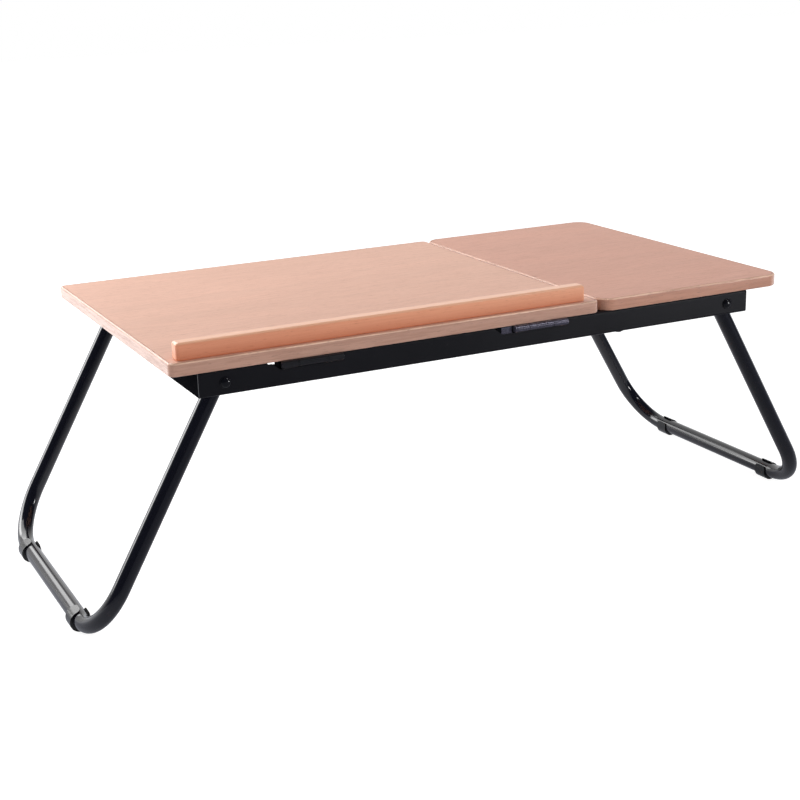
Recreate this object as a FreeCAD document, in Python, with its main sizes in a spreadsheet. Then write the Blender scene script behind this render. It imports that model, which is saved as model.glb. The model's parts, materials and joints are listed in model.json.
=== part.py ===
import FreeCAD, Part
import math
import os
import re
import Sketcher

# Folding bed table with a tilting board, in millimetres.
# Frame: X along the front rail, Y from the front rail to the back, Z up.
# The origin is on the floor, under the middle of the whole table.

# Every size that can be set by itself. Angles are in degrees.
SIZES = {
    # The two boards and their plastic edge bands
    "board_thickness": 11.0,
    "left_board_length": 397.5,
    "left_board_depth": 337.0,
    "left_board_overhang": 22.5,
    "right_board_length": 201.5,
    "right_board_depth": 340.5,
    "right_board_lead": 0.5,
    "seam_gap": 1.5,
    "left_board_corner": 6.0,
    "right_board_corner": 15.0,
    "band_width": 2.0,
    "band_round_above": 1.8,
    "band_round_below": 1.0,
    # The ledge that keeps a book from sliding off
    "ledge_height": 14.5,
    "ledge_width": 14.0,
    "ledge_corner": 6.0,
    "ledge_round_above": 3.0,
    "ledge_left_inset": 8.0,
    "ledge_right_inset": 12.0,
    "ledge_front_inset": 4.8,
    # The frame of folded sheet channels
    "rail_length": 538.0,
    "frame_depth": 318.0,
    "rail_height": 20.4,
    "rail_sheet": 1.2,
    "rail_flange": 9.0,
    "rail_bend": 1.8,
    # The cross-member under the seam, and its brackets
    "cross_width": 40.0,
    "cross_left_of_seam": 10.75,
    "cross_leg_height": 15.0,
    "cross_leg_setback": 25.0,
    "bracket_width": 16.0,
    "bracket_gap": 0.2,
    # The legs
    "tube_radius": 7.25,
    "tube_wall": 1.2,
    "tube_bend": 48.0,
    "tube_past_pivot": 6.0,
    "leg_length": 235.8,
    "leg_lean": 29.7,
    "pivot_inset": 22.5,
    "leg_side_gap": 0.95,
    "stop_gap": 0.15,
    "plug_cap": 1.0,
    "plug_stem": 2.6,
    # The leg pivots
    "rivet_shank": 2.5,
    "rivet_head": 5.1,
    "rivet_head_height": 2.8,
    "rivet_tail": 4.1,
    "rivet_tail_height": 1.8,
    "pivot_clearance": 0.08,
    "spacer_radius": 4.5,
    "end_gap": 0.1,
    # The clip-on feet
    "foot_wall": 1.85,
    "foot_offset": 1.2,
    "foot_width": 15.0,
    "foot_bend_gap": 0.5,
    "foot_mouth_half": 38.0,
    "foot_lip_half": 26.0,
    "foot_shoulder_half": 50.0,
    "foot_lip_gap": 1.6,
    # The two hinges at the front rail
    "barrel_radius": 3.0,
    "pin_radius": 1.5,
    "pin_clearance": 0.06,
    "pin_head_radius": 2.2,
    "pin_head_height": 0.3,
    "leaf_thickness": 1.2,
    "knuckle_gap": 0.3,
    "leaf_depth": 25.0,
    "frame_leaf_drop": 14.6,
    "notch_gap": 0.6,
    "left_hinge_start": 70.3,
    "left_hinge_length": 54.4,
    "left_notch_before": 11.5,
    "left_notch_step": 0.8,
    "left_notch_shelf": 3.3,
    "left_notch_slope": 6.4,
    "notch_shelf_drop": 1.3,
    "right_hinge_start": 286.7,
    "right_hinge_length": 53.7,
    "right_notch_before": 19.5,
    "right_notch_slope": 8.3,
    "leaf_tab": 11.8,
    "leaf_tab_gap": 1.0,
    "notch_after": 0.5,
    "knuckle_length": 14.6,
    # The wire prop under the tilting board
    "prop_radius": 2.5,
    "prop_length": 115.0,
    "prop_half_span": 56.0,
    "prop_half_reach": 86.5,
    "prop_bend": 8.0,
    "prop_setback": 200.0,
    "prop_drop": 4.75,
    "prop_centre_from_left": 135.0,
    "prop_clearance": 0.08,
    "prop_clip_wall": 1.8,
    "prop_clip_width": 16.0,
    "prop_clip_base": 2.5,
    "prop_clip_reach": 14.0,
    "prop_clip_offset": 31.0,
    # The rack that the prop stands in
    "rack_bar_width": 12.0,
    "rack_bar_thickness": 1.5,
    "rack_tooth_width": 8.0,
    "rack_tip_gap": 1.5,
    "rack_notch_gap": 0.3,
    "rack_low_tilt": 18.0,
    "rack_middle_tilt": 24.0,
    "board_tilt": 30.0,
    "prop_swing": 32.8,
    "rack_block_height": 9.5,
    "rack_block_wall": 3.3,
    "rack_block_tail": 8.0,
    # Small screws and rivets
    "screw_shank": 1.9,
    "screw_head": 3.8,
    "screw_head_height": 2.0,
    "board_screw_bite": 8.0,
    "board_screw_inset": 15.0,
    "cross_screw_offset": 63.6,
    "ledge_screw_bite": 9.0,
    "clip_screw_head": 3.2,
    "leaf_screw_bite": 8.5,
    "leaf_screw_shank": 1.6,
    "leaf_screw_head": 2.7,
    "leaf_screw_head_height": 1.1,
    "recess_width": 0.9,
    "recess_depth": 0.8,
    "bump_head": 4.5,
    "bump_height": 1.8,
    "bump_bite": 5.0,
    "bar_rivet_head": 3.2,
    "bar_rivet_height": 1.5,
}

doc = FreeCAD.newDocument("BedTable")


class Size:
    """A number together with the sheet expression that it comes from."""

    def __init__(self, value, text):
        self.value = float(value)
        self.text = text

    def _join(self, other, sign, value):
        return Size(value, f"({self.text} {sign} {size(other).text})")

    def __add__(self, other):
        return self._join(other, "+", self.value + size(other).value)

    def __sub__(self, other):
        return self._join(other, "-", self.value - size(other).value)

    def __mul__(self, other):
        return self._join(other, "*", self.value * size(other).value)

    def __truediv__(self, other):
        return self._join(other, "/", self.value / size(other).value)

    def __radd__(self, other):
        return size(other) + self

    def __rsub__(self, other):
        return size(other) - self

    def __rmul__(self, other):
        return size(other) * self

    def __neg__(self):
        return Size(-self.value, f"(0 - {self.text})")


def size(number):
    """A plain number as a Size; a Size as it is."""
    if isinstance(number, Size):
        return number
    return Size(number, repr(number) if number >= 0 else f"(0 - {-number!r})")


def sin(angle):
    """Sine of a Size in degrees."""
    return Size(math.sin(math.radians(angle.value)), f"sin({angle.text})")


def cos(angle):
    """Cosine of a Size in degrees."""
    return Size(math.cos(math.radians(angle.value)), f"cos({angle.text})")


def root(number):
    """Square root of a Size."""
    return Size(math.sqrt(number.value), f"sqrt({number.text})")


class Sheet:
    """The document's spreadsheet; each named size is an attribute of it."""

    def __init__(self, numbers):
        self.cells = doc.addObject("Spreadsheet::Sheet", "Sizes")
        self.row = 0
        for name, number in numbers.items():
            self._write(name, repr(number), number)

    def _write(self, name, content, value):
        self.row += 1
        self.cells.set(f"A{self.row}", name)
        self.cells.set(f"B{self.row}", content)
        self.cells.setAlias(f"B{self.row}", name)
        setattr(self, name, Size(value, f"Sizes.{name}"))

    def derive(self, **worked_out):
        """Add sizes that follow from the others."""
        for name, number in worked_out.items():
            number = size(number)
            formula = re.sub(r"\bSizes\.", "", number.text)
            self._write(name, "=" + formula, number.value)


s = Sheet(SIZES)

# Heights, from the floor up
s.derive(foot_radius=s.tube_radius + s.foot_wall)
s.derive(pivot_z=s.foot_radius + (s.leg_length + s.foot_offset) * cos(s.leg_lean))
s.derive(rail_z0=s.pivot_z - s.rail_height / 2)
s.derive(rail_z1=s.rail_z0 + s.rail_height)
s.derive(board_z1=s.rail_z1 + s.board_thickness)
s.derive(flange_z=s.rail_z1 - s.rail_sheet)

# Depths: the table reaches from the hinge barrels to the back of the right board
s.derive(axis_behind_rail=s.rail_sheet + s.leaf_thickness - s.barrel_radius)
s.derive(back_behind_rail=s.right_board_depth - s.right_board_lead)
s.derive(front_y=(s.barrel_radius - s.axis_behind_rail - s.back_behind_rail) / 2)
s.derive(rear_y=s.front_y + s.frame_depth)
s.derive(leg_inset=s.rail_flange + s.leg_side_gap + s.tube_radius)
s.derive(leg_front_y=s.front_y + s.leg_inset)
s.derive(leg_rear_y=s.rear_y - s.leg_inset)

# Lengths
s.derive(rail_half=s.rail_length / 2)
s.derive(pivot_x=s.rail_half - s.pivot_inset)
s.derive(left_x0=-s.rail_half - s.left_board_overhang)
s.derive(left_x1=s.left_x0 + s.left_board_length)
s.derive(right_x0=s.left_x1 + s.seam_gap)
s.derive(right_x1=s.right_x0 + s.right_board_length)
s.derive(cross_x0=s.left_x1 + s.seam_gap / 2 - s.cross_left_of_seam)
s.derive(cross_x1=s.cross_x0 + s.cross_width)

# The leaning tube rests against the inner edge of each end rail's lower flange
s.derive(tube_out=s.tube_radius / cos(s.leg_lean)
         + s.rail_height / 2 * sin(s.leg_lean) / cos(s.leg_lean))
s.derive(end_flange=s.rail_half - s.pivot_x - s.tube_out - s.stop_gap)

# Hinge axis of the tilting board
s.derive(axis_y=s.front_y + s.axis_behind_rail)
s.derive(axis_z=s.rail_z1 - s.barrel_radius)
s.derive(notch_z=s.axis_z - s.barrel_radius - s.notch_gap)

# The prop: its own axis in the board, and the places where its feet stand
s.derive(prop_x=-s.rail_half + s.prop_centre_from_left)
s.derive(prop_y=s.axis_y + s.prop_setback)
s.derive(prop_z=s.rail_z1 - s.prop_drop)
s.derive(prop_arm_z=s.prop_z - s.axis_z)
s.derive(stand_turn=s.board_tilt + s.prop_swing)
s.derive(stand_y=s.axis_y + s.prop_setback * cos(s.board_tilt)
         - s.prop_arm_z * sin(s.board_tilt) - s.prop_length * cos(s.stand_turn))
s.derive(stand_z=s.axis_z + s.prop_setback * sin(s.board_tilt)
         + s.prop_arm_z * cos(s.board_tilt) - s.prop_length * sin(s.stand_turn))


def notch_y(tilt):
    """Where the prop's feet stand when the board is tilted by this much."""
    high = s.axis_z + s.prop_setback * sin(tilt) + s.prop_arm_z * cos(tilt) - s.stand_z
    back = s.axis_y + s.prop_setback * cos(tilt) - s.prop_arm_z * sin(tilt)
    return back - root(s.prop_length * s.prop_length - high * high)


s.derive(low_notch_y=notch_y(s.rack_low_tilt))
s.derive(middle_notch_y=notch_y(s.rack_middle_tilt))
s.derive(notch_radius=s.prop_radius + s.rack_notch_gap)
s.derive(rack_bar_z=s.flange_z - s.rack_bar_thickness)
s.derive(rack_inner=s.prop_half_reach + s.rack_tip_gap)
doc.recompute()

NODES = []

# How far a cutter reaches past what it cuts, and the screws that hold the ledge
SPARE = 1
LEDGE_SCREWS = 4


def bind(thing, **sizes):
    """Tie properties of an object to the sheet; __ stands for a dot."""
    for name, number in sizes.items():
        path = name.replace("__", ".")
        thing.setExpression("." + path if "." in path else path, size(number).text)


def place(thing, x=0, y=0, z=0, axis=(0, 0, 1), angle=0):
    """Put an object at x, y, z, turned about an axis through that point."""
    turn = FreeCAD.Rotation(FreeCAD.Vector(*axis), size(angle).value)
    thing.Placement = FreeCAD.Placement(FreeCAD.Vector(), turn)
    bind(thing, Placement__Base__x=x, Placement__Base__y=y, Placement__Base__z=z)
    if size(angle).value:
        bind(thing, Placement__Rotation__Angle=angle)
    return thing


def node(thing, name):
    """Keep an object as the sub-part with this name."""
    thing.Label = name
    NODES.append(thing)
    return thing


def box(name, x, y, z):
    """A box between pairs of coordinates."""
    thing = doc.addObject("Part::Box", name)
    bind(thing, Length=x[1] - x[0], Width=y[1] - y[0], Height=z[1] - z[0])
    return place(thing, x[0], y[0], z[0])


AXIS_TURN = {"X": ((0, 1, 0), 90), "Y": ((1, 0, 0), -90), "Z": ((0, 0, 1), 0)}
UP = AXIS_TURN["Z"]


def cylinder(name, direction, radius, length, x, y, z):
    """A cylinder that starts at x, y, z and runs along +X, +Y or +Z."""
    thing = doc.addObject("Part::Cylinder", name)
    bind(thing, Radius=radius, Height=length)
    axis, angle = AXIS_TURN[direction]
    return place(thing, x, y, z, axis, angle)


def fuse(name, pieces):
    """One solid from several."""
    thing = doc.addObject("Part::MultiFuse", name)
    thing.Shapes = pieces
    return thing


def cut(name, base, tools):
    """A solid with others taken out of it."""
    thing = doc.addObject("Part::Cut", name)
    thing.Base = base
    thing.Tool = tools[0] if len(tools) == 1 else fuse(name + "_tools", tools)
    return thing


def group(name, pieces):
    """Separate solids kept as one sub-part."""
    thing = doc.addObject("Part::Compound", name)
    thing.Links = pieces
    return thing


def copies(name, master, places):
    """Copies of one master piece, each at its own place."""
    links = []
    for number, (x, y, z, axis, angle) in enumerate(places, 1):
        link = doc.addObject("App::Link", f"{name}_{number}")
        link.LinkedObject = master
        links.append(place(link, x, y, z, axis, angle))
    return group(name, links)


def sketch(body, name, plane, offset=0):
    """A sketch on one of the body's own origin planes, moved along its normal."""
    planes = {feature.Role: feature for feature in body.Origin.OriginFeatures}
    drawing = body.newObject("Sketcher::SketchObject", name)
    drawing.AttachmentSupport = (planes[plane], [""])
    drawing.MapMode = "FlatFace"
    if size(offset).value:
        bind(drawing, AttachmentOffset__Base__z=offset)
    return drawing


def constrain(drawing, kind, *about, number=None):
    """Add one constraint, tied to the sheet where it has a number."""
    if number is None:
        drawing.addConstraint(Sketcher.Constraint(kind, *about))
        return
    number = size(number)
    index = drawing.addConstraint(Sketcher.Constraint(kind, *about, number.value))
    drawing.setExpression(f"Constraints[{index}]", number.text)


def fix(drawing, edge, end, point):
    """Hold one end of an edge at a point."""
    constrain(drawing, "DistanceX", -1, 1, edge, end, number=point[0])
    constrain(drawing, "DistanceY", -1, 1, edge, end, number=point[1])


def add_arc(drawing, first, last, radius, turn):
    """Geometry of an arc under a half turn; turn is 1 for counter-clockwise."""
    (x0, y0), (x1, y1) = [(size(p[0]).value, size(p[1]).value) for p in (first, last)]
    chord = math.hypot(x1 - x0, y1 - y0)
    rise = math.sqrt(max(radius.value ** 2 - (chord / 2) ** 2, 0.0)) * turn
    cx = (x0 + x1) / 2 - rise * (y1 - y0) / chord
    cy = (y0 + y1) / 2 + rise * (x1 - x0) / chord
    ends = [math.atan2(y0 - cy, x0 - cx), math.atan2(y1 - cy, x1 - cx)]
    if turn < 0:
        ends.reverse()
    if ends[1] < ends[0]:
        ends[1] += 2 * math.pi
    circle = Part.Circle(FreeCAD.Vector(cx, cy, 0), FreeCAD.Vector(0, 0, 1), radius.value)
    return drawing.addGeometry(Part.ArcOfCircle(circle, *ends), False)


def unit(first, last):
    """Direction of an upright or level run, as -1, 0 or 1 along each axis."""
    runs = [size(b).value - size(a).value for a, b in zip(first, last)]
    return [0 if abs(run) < 1e-6 else int(math.copysign(1, run)) for run in runs]


def outline(drawing, corners, arcs=None, closed=True):
    """Draw edges through corners.

    A corner is (x, y) or, where two level or upright runs meet, (x, y, radius). arcs gives the edges that are
    arcs: the number of the corner they start from, and (radius, turn).
    """
    arcs = arcs or {}
    count = len(corners)
    runs = []
    for number, corner in enumerate(corners):
        x, y = size(corner[0]), size(corner[1])
        if len(corner) == 2:
            runs.append(((x, y), (x, y), None, 0))
            continue
        came = unit(corners[number - 1][:2], (x, y))
        goes = unit((x, y), corners[(number + 1) % count][:2])
        radius = size(corner[2])
        start = (x - came[0] * radius, y - came[1] * radius)
        end = (x + goes[0] * radius, y + goes[1] * radius)
        turn = came[0] * goes[1] - came[1] * goes[0]
        runs.append((start, end, radius, turn))
    edges = []
    last = count if closed else count - 1
    for number in range(last):
        after = (number + 1) % count
        leave, arrive = runs[number][1], runs[after][0]
        if number in arcs:
            radius, turn = size(arcs[number][0]), arcs[number][1]
            index = add_arc(drawing, leave, arrive, radius, turn)
            edges.append((index, 1, 2, radius) if turn > 0 else (index, 2, 1, radius))
        else:
            ends = [FreeCAD.Vector(p[0].value, p[1].value, 0) for p in (leave, arrive)]
            index = drawing.addGeometry(Part.LineSegment(*ends), False)
            edges.append((index, 1, 2, None))
        if runs[after][2] is not None and (closed or after < count - 1):
            start, end, radius, turn = runs[after]
            index = add_arc(drawing, start, end, radius, turn)
            edges.append((index, 1, 2, radius) if turn > 0 else (index, 2, 1, radius))
    points = []
    for number in range(last):
        after = (number + 1) % count
        points.append(runs[number][1])
        if runs[after][2] is not None and (closed or after < count - 1):
            points.append(runs[after][0])
    for number, (index, head, tail, radius) in enumerate(edges):
        fix(drawing, index, head, points[number])
        if radius is not None:
            constrain(drawing, "Radius", index, number=radius)
        following = (number + 1) % len(edges)
        if closed or following:
            constrain(drawing, "Coincident", index, tail, edges[following][0], edges[following][1])
    if not closed:
        fix(drawing, edges[-1][0], edges[-1][2], runs[-1][0])
    return drawing


def ring(drawing, centre, radii):
    """Draw circles about one centre."""
    for radius in radii:
        middle = FreeCAD.Vector(size(centre[0]).value, size(centre[1]).value, 0)
        circle = Part.Circle(middle, FreeCAD.Vector(0, 0, 1), size(radius).value)
        index = drawing.addGeometry(circle, False)
        fix(drawing, index, 3, centre)
        constrain(drawing, "Radius", index, number=radius)
    return drawing


def new_body(name):
    """An empty body."""
    return doc.addObject("PartDesign::Body", name)


def pad(body, name, drawing, length, back=False):
    """Thicken a sketch along its normal."""
    feature = body.newObject("PartDesign::Pad", name)
    feature.Profile = drawing
    feature.Reversed = back
    bind(feature, Length=length)
    return feature


def pocket(body, name, drawing):
    """Take a sketch's outline out of the whole body above and below it."""
    doc.recompute()
    before = body.Shape.Volume
    feature = body.newObject("PartDesign::Pocket", name)
    feature.Profile = drawing
    feature.Type = "ThroughAll"
    feature.Midplane = True
    doc.recompute()
    if body.Shape.Volume >= before:
        raise ValueError(f"{name} cuts nothing")
    return feature


def level_edges(shape, height):
    """Names of the edges that lie flat at one height."""
    found = []
    for number, edge in enumerate(shape.Edges, 1):
        bounds = edge.BoundBox
        if abs(bounds.ZMin - height) < 1e-4 and abs(bounds.ZMax - height) < 1e-4:
            found.append(f"Edge{number}")
    return found


def round_edges(body, name, height, radius):
    """Round all edges of a body at one height."""
    doc.recompute()
    base = body.Tip
    feature = body.newObject("PartDesign::Fillet", name)
    feature.Base = (base, level_edges(base.Shape, size(height).value))
    bind(feature, Radius=radius)
    return feature


def turned(name, corners, arcs=None):
    """A body turned about its own Z axis; corners are (radius, height)."""
    body = new_body(name)
    drawing = outline(sketch(body, name + "_profile", "XZ_Plane"), corners, arcs)
    feature = body.newObject("PartDesign::Revolution", name + "_turn")
    feature.Profile = drawing
    feature.ReferenceAxis = (drawing, ["V_Axis"])
    feature.Angle = 360
    return body


def rounded(x, y, radius):
    """Corners of a rectangle whose corners share a radius."""
    return [(x[0], y[0], radius), (x[1], y[0], radius), (x[1], y[1], radius), (x[0], y[1], radius)]


def both_rails():
    """Front and rear rail: name, outer face, and the direction from it into the frame."""
    return (("front", s.front_y, 1), ("rear", s.rear_y, -1))


# Fasteners. Each stands on its head's seat at height 0, with its tip towards +Z.

def dome_head(radius, height):
    """Radius of the ball that a domed head of this radius and height is cut from."""
    return (radius * radius + height * height) / (2 * height)


def dome_screw(name, head, height, shank, length):
    """A screw or rivet with a domed head."""
    corners = [(0, -height), (head, 0), (shank, 0), (shank, length), (0, length)]
    return turned(name, corners, {0: (dome_head(head, height), 1)})


def recessed(name, blank, head, floor):
    """A screw with a cross recess in its head, down to a floor."""
    half = s.recess_width / 2
    low = -s.screw_head_height * 2
    bars = [
        box(name + "_slot_x", (-head / 2, head / 2), (-half, half), (low, floor)),
        box(name + "_slot_y", (-half, half), (-head / 2, head / 2), (low, floor)),
    ]
    return cut(name, blank, bars)


def fasteners(name, screw, places):
    """Screws as one sub-part; returns their plain blanks, which are cut out of what they hold."""
    made, blank = screw
    node(copies(name + "_made", made, places), name)
    return copies(name + "_room", blank, places)


def pan_screw(name, head, height, shank, length):
    """A screw with a flat cheese head and a cross recess, and its blank."""
    round_off = height / 2
    corners = [
        (0, -height), (head - round_off, -height), (head, -round_off), (head, 0),
        (shank, 0), (shank, length), (0, length),
    ]
    blank = turned(name + "_blank", corners, {1: (round_off, 1)})
    return recessed(name, blank, head, s.recess_depth - height), blank


def sunk_screw(name, head, height, shank, length):
    """A screw whose conical head is flush, with a cross recess, and its blank."""
    corners = [(0, 0), (head, 0), (shank, height), (shank, length), (0, length)]
    blank = turned(name + "_blank", corners)
    return recessed(name, blank, head, s.recess_depth), blank


# Boards

def board(side, x, y, screws):
    """A board as a core and the plastic band round its edge."""
    width = s.band_width
    inner_x = (width, x[1] - x[0] - width)
    inner_y = (width, y[1] - y[0] - width)
    corner = getattr(s, side + "_board_corner")
    band = new_body(side + "_band_body")
    edge = sketch(band, side + "_band_outer", "XY_Plane")
    outline(edge, rounded((0, x[1] - x[0]), (0, y[1] - y[0]), corner))
    pad(band, side + "_band_pad", edge, s.board_thickness)
    round_edges(band, side + "_band_round_above", s.board_thickness, s.band_round_above)
    round_edges(band, side + "_band_round_below", 0, s.band_round_below)
    hole = sketch(band, side + "_band_inner", "XY_Plane")
    outline(hole, rounded(inner_x, inner_y, corner - width))
    pocket(band, side + "_band_open", hole)
    node(place(band, x[0], y[0], s.rail_z1), side + "_board_edge_band")
    core = new_body(side + "_core")
    face = sketch(core, side + "_core_face", "XY_Plane")
    outline(face, rounded(inner_x, inner_y, corner - width))
    pad(core, side + "_core_pad", face, s.board_thickness)
    place(core, x[0], y[0], s.rail_z1)
    node(cut(side + "_panel", core, screws), side + "_board_panel")


def ledge(screws):
    """The wooden bar along the front of the tilting board."""
    length = s.left_board_length - s.ledge_left_inset - s.ledge_right_inset
    body = new_body("ledge_body")
    face = sketch(body, "ledge_face", "XY_Plane")
    outline(face, rounded((0, length), (0, s.ledge_width), s.ledge_corner))
    pad(body, "ledge_pad", face, s.ledge_height)
    round_edges(body, "ledge_round_above", s.ledge_height, s.ledge_round_above)
    place(body, s.left_x0 + s.ledge_left_inset, s.front_y + s.ledge_front_inset, s.board_z1)
    node(cut("ledge", body, screws), "book_ledge")


# Hinges

class Hinge:
    """One hinge: where it starts and ends along X, and its three knuckles."""

    def __init__(self, side):
        self.side = side
        self.x0 = getattr(s, side + "_hinge_start") - s.rail_half
        self.x1 = self.x0 + getattr(s, side + "_hinge_length")
        self.m0 = self.x0 + s.knuckle_length
        self.m1 = self.x1 - s.knuckle_length

    def notch(self):
        """The cut in the rail that leaves room for the hinge, with a sloping left end."""
        x0 = self.x0 - getattr(s, self.side + "_notch_before")
        x1 = self.x1 + s.notch_after
        slope = getattr(s, self.side + "_notch_slope")
        body = new_body(self.side + "_notch")
        face = sketch(body, self.side + "_notch_face", "XZ_Plane")
        top = s.rail_z1 + s.rail_sheet
        start = [(x0, top), (x0, s.rail_z1)]
        if self.side == "left":
            shelf_z = s.rail_z1 - s.notch_shelf_drop
            shelf_x = x0 + s.left_notch_step
            start += [(shelf_x, shelf_z), (shelf_x + s.left_notch_shelf, shelf_z)]
        foot = start[-1][0] + slope
        outline(face, start + [(foot, s.notch_z), (x1, s.notch_z), (x1, top)])
        pad(body, self.side + "_notch_pad", face, s.rail_flange * 2, back=True)
        return place(body, 0, s.front_y - s.rail_flange / 2, 0)

    def bore(self, name, radius):
        """A cylinder along the hinge axis, longer than the hinge."""
        spare = s.barrel_radius
        return cylinder(name, "X", radius, self.x1 - self.x0 + spare * 2,
                        self.x0 - spare, s.axis_y, s.axis_z)

    def knuckle(self, name, x0, x1):
        """One knuckle as a full cylinder."""
        return cylinder(name, "X", s.barrel_radius, x1 - x0, x0, s.axis_y, s.axis_z)

    def frame_leaf(self):
        """The upright leaf behind the rail's web, with the middle knuckle; a tab fills the right notch."""
        side = self.side
        x = (self.m0 + s.knuckle_gap / 2, self.m1 - s.knuckle_gap / 2)
        y0 = s.front_y + s.rail_sheet
        y = (y0, y0 + s.leaf_thickness)
        low = s.axis_z - s.frame_leaf_drop
        start = self.x0
        pieces = []
        if side == "right":
            start = self.x0 - s.leaf_tab
            high = s.rail_z1 - s.notch_gap
            pieces.append(box("right_leaf_tab", (start, self.x0 - s.leaf_tab_gap), y, (low, high)))
        pieces += [
            box(side + "_frame_leaf_wide", (start, self.x1), y, (low, s.notch_z)),
            box(side + "_frame_leaf_neck", x, y, (low, s.axis_z)),
            self.knuckle(side + "_middle_knuckle", *x),
        ]
        blank = fuse(side + "_frame_leaf_blank", pieces)
        leaf = cut(side + "_frame_leaf", blank, [self.bore(side + "_pin_seat", s.pin_radius)])
        node(leaf, side + "_hinge_frame_leaf")

    def board_leaf(self, screws):
        """The flat leaf under the board, with the outer knuckles."""
        side = self.side
        z = (s.rail_z1 - s.leaf_thickness, s.rail_z1)
        gap = s.knuckle_gap / 2
        back = s.front_y + s.leaf_depth
        clear = s.axis_y + s.barrel_radius + s.knuckle_gap * 2
        pieces = [box(side + "_board_leaf_wide", (self.x0, self.x1), (clear, back), z)]
        for name, x0, x1 in (("left", self.x0, self.m0 - gap), ("right", self.m1 + gap, self.x1)):
            pieces.append(box(f"{side}_{name}_strap", (x0, x1), (s.axis_y, back), z))
            pieces.append(self.knuckle(f"{side}_{name}_knuckle", x0, x1))
        bore = self.bore(side + "_pin_room", s.pin_radius + s.pin_clearance)
        blank = fuse(side + "_board_leaf_blank", pieces)
        node(cut(side + "_board_leaf", blank, [bore] + screws), side + "_hinge_board_leaf")

    def pin(self):
        """The pin, headed over at both ends."""
        length = self.x1 - self.x0
        gap = s.end_gap
        high = s.pin_head_height
        corners = [
            (0, -gap - high), (s.pin_head_radius, -gap - high), (s.pin_head_radius, -gap),
            (s.pin_radius, -gap), (s.pin_radius, length + gap), (s.pin_head_radius, length + gap),
            (s.pin_head_radius, length + gap + high), (0, length + gap + high),
        ]
        body = turned(self.side + "_pin", corners)
        node(place(body, self.x0, s.axis_y, s.axis_z, *AXIS_TURN["X"]), self.side + "_hinge_pin")

    def screw_places(self):
        """Two screws through the board leaf, from below."""
        inset = s.knuckle_length / 2
        y = s.front_y + (s.leaf_depth + s.axis_behind_rail + s.barrel_radius) / 2
        return [(x, y, s.rail_z1 - s.leaf_thickness, *UP) for x in (self.x0 + inset, self.x1 - inset)]


# Frame

def rail(name, outer, inward, tools):
    """A long channel that opens into the frame, with its flanges notched at the ends."""
    body = new_body(name + "_rail_body")
    face = sketch(body, name + "_rail_face", "YZ_Plane")
    flange = s.rail_flange * inward
    sheet = s.rail_sheet * inward
    inner_bend = s.rail_bend - s.rail_sheet
    height = s.rail_height
    outline(face, [
        (0, 0, s.rail_bend), (flange, 0), (flange, s.rail_sheet), (sheet, s.rail_sheet, inner_bend),
        (sheet, height - s.rail_sheet, inner_bend), (flange, height - s.rail_sheet),
        (flange, height), (0, height, s.rail_bend),
    ])
    pad(body, name + "_rail_pad", face, s.rail_length)
    place(body, -s.rail_half, outer, s.rail_z0)
    start = outer + sheet if inward > 0 else outer + flange * 2
    end = outer + flange * 2 if inward > 0 else outer + sheet
    ends = []
    for side, x0 in (("left", -s.rail_half - SPARE), ("right", s.rail_half - s.rail_sheet)):
        room = (x0, x0 + s.rail_sheet + SPARE)
        high = (s.rail_z0 - SPARE, s.rail_z1 + SPARE)
        ends.append(box(f"{name}_{side}_end_notch", room, (start, end), high))
    node(cut(name + "_rail_cut", body, ends + tools), name + "_rail")


def end_rail(side):
    """A channel between the two long rails, flush with their ends."""
    way = -1 if side == "left" else 1
    outer = s.rail_half * way
    web = sorted((outer, outer - s.rail_sheet * way), key=lambda place: place.value)
    lip = sorted((outer, outer - s.end_flange * way), key=lambda place: place.value)
    pieces = [
        box(side + "_end_web", web, (s.front_y + s.rail_sheet, s.rear_y - s.rail_sheet),
            (s.rail_z0, s.rail_z1)),
    ]
    lips_y = (s.front_y + s.rail_flange, s.rear_y - s.rail_flange)
    for level, z in (("lower", s.rail_z0), ("upper", s.flange_z)):
        pieces.append(box(f"{side}_end_{level}_lip", lip, lips_y, (z, z + s.rail_sheet)))
    node(fuse(side + "_end", pieces), side + "_end_rail")


def cross_member(screws):
    """The strip under the seam of the boards, with a stiffening leg on each side."""
    x = (s.cross_x0, s.cross_x1)
    y = (s.front_y + s.rail_flange, s.rear_y - s.rail_flange)
    legs_y = (y[0] + s.cross_leg_setback, y[1] - s.cross_leg_setback)
    legs_z = (s.flange_z - s.cross_leg_height, s.flange_z)
    pieces = [box("cross_strip", x, y, (s.flange_z, s.rail_z1))]
    for side, x0 in (("left", x[0]), ("right", x[1] - s.rail_sheet)):
        pieces.append(box(f"cross_{side}_leg", (x0, x0 + s.rail_sheet), legs_y, legs_z))
    node(cut("cross", fuse("cross_blank", pieces), screws), "cross_member")


def brackets(screws):
    """A small C inside each long rail, under the right side of the cross-member."""
    x = (s.cross_x1 - s.bracket_width, s.cross_x1)
    made = []
    for name, outer, inward in both_rails():
        ends = (outer + s.rail_bend * inward, outer + (s.rail_flange - s.bracket_gap) * inward)
        y = ends if inward > 0 else ends[::-1]
        low = s.rail_z0 + s.rail_sheet
        sheet = s.rail_sheet
        pieces = [
            box(name + "_bracket_foot", x, y, (low, low + sheet)),
            box(name + "_bracket_top", x, y, (s.flange_z - sheet, s.flange_z)),
            box(name + "_bracket_web", (x[1] - sheet, x[1]), y, (low, s.flange_z)),
        ]
        made.append(fuse(name + "_bracket", pieces))
    blank = group("brackets_blank", made)
    node(cut("brackets", blank, screws), "cross_member_brackets")


# Legs

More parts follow.
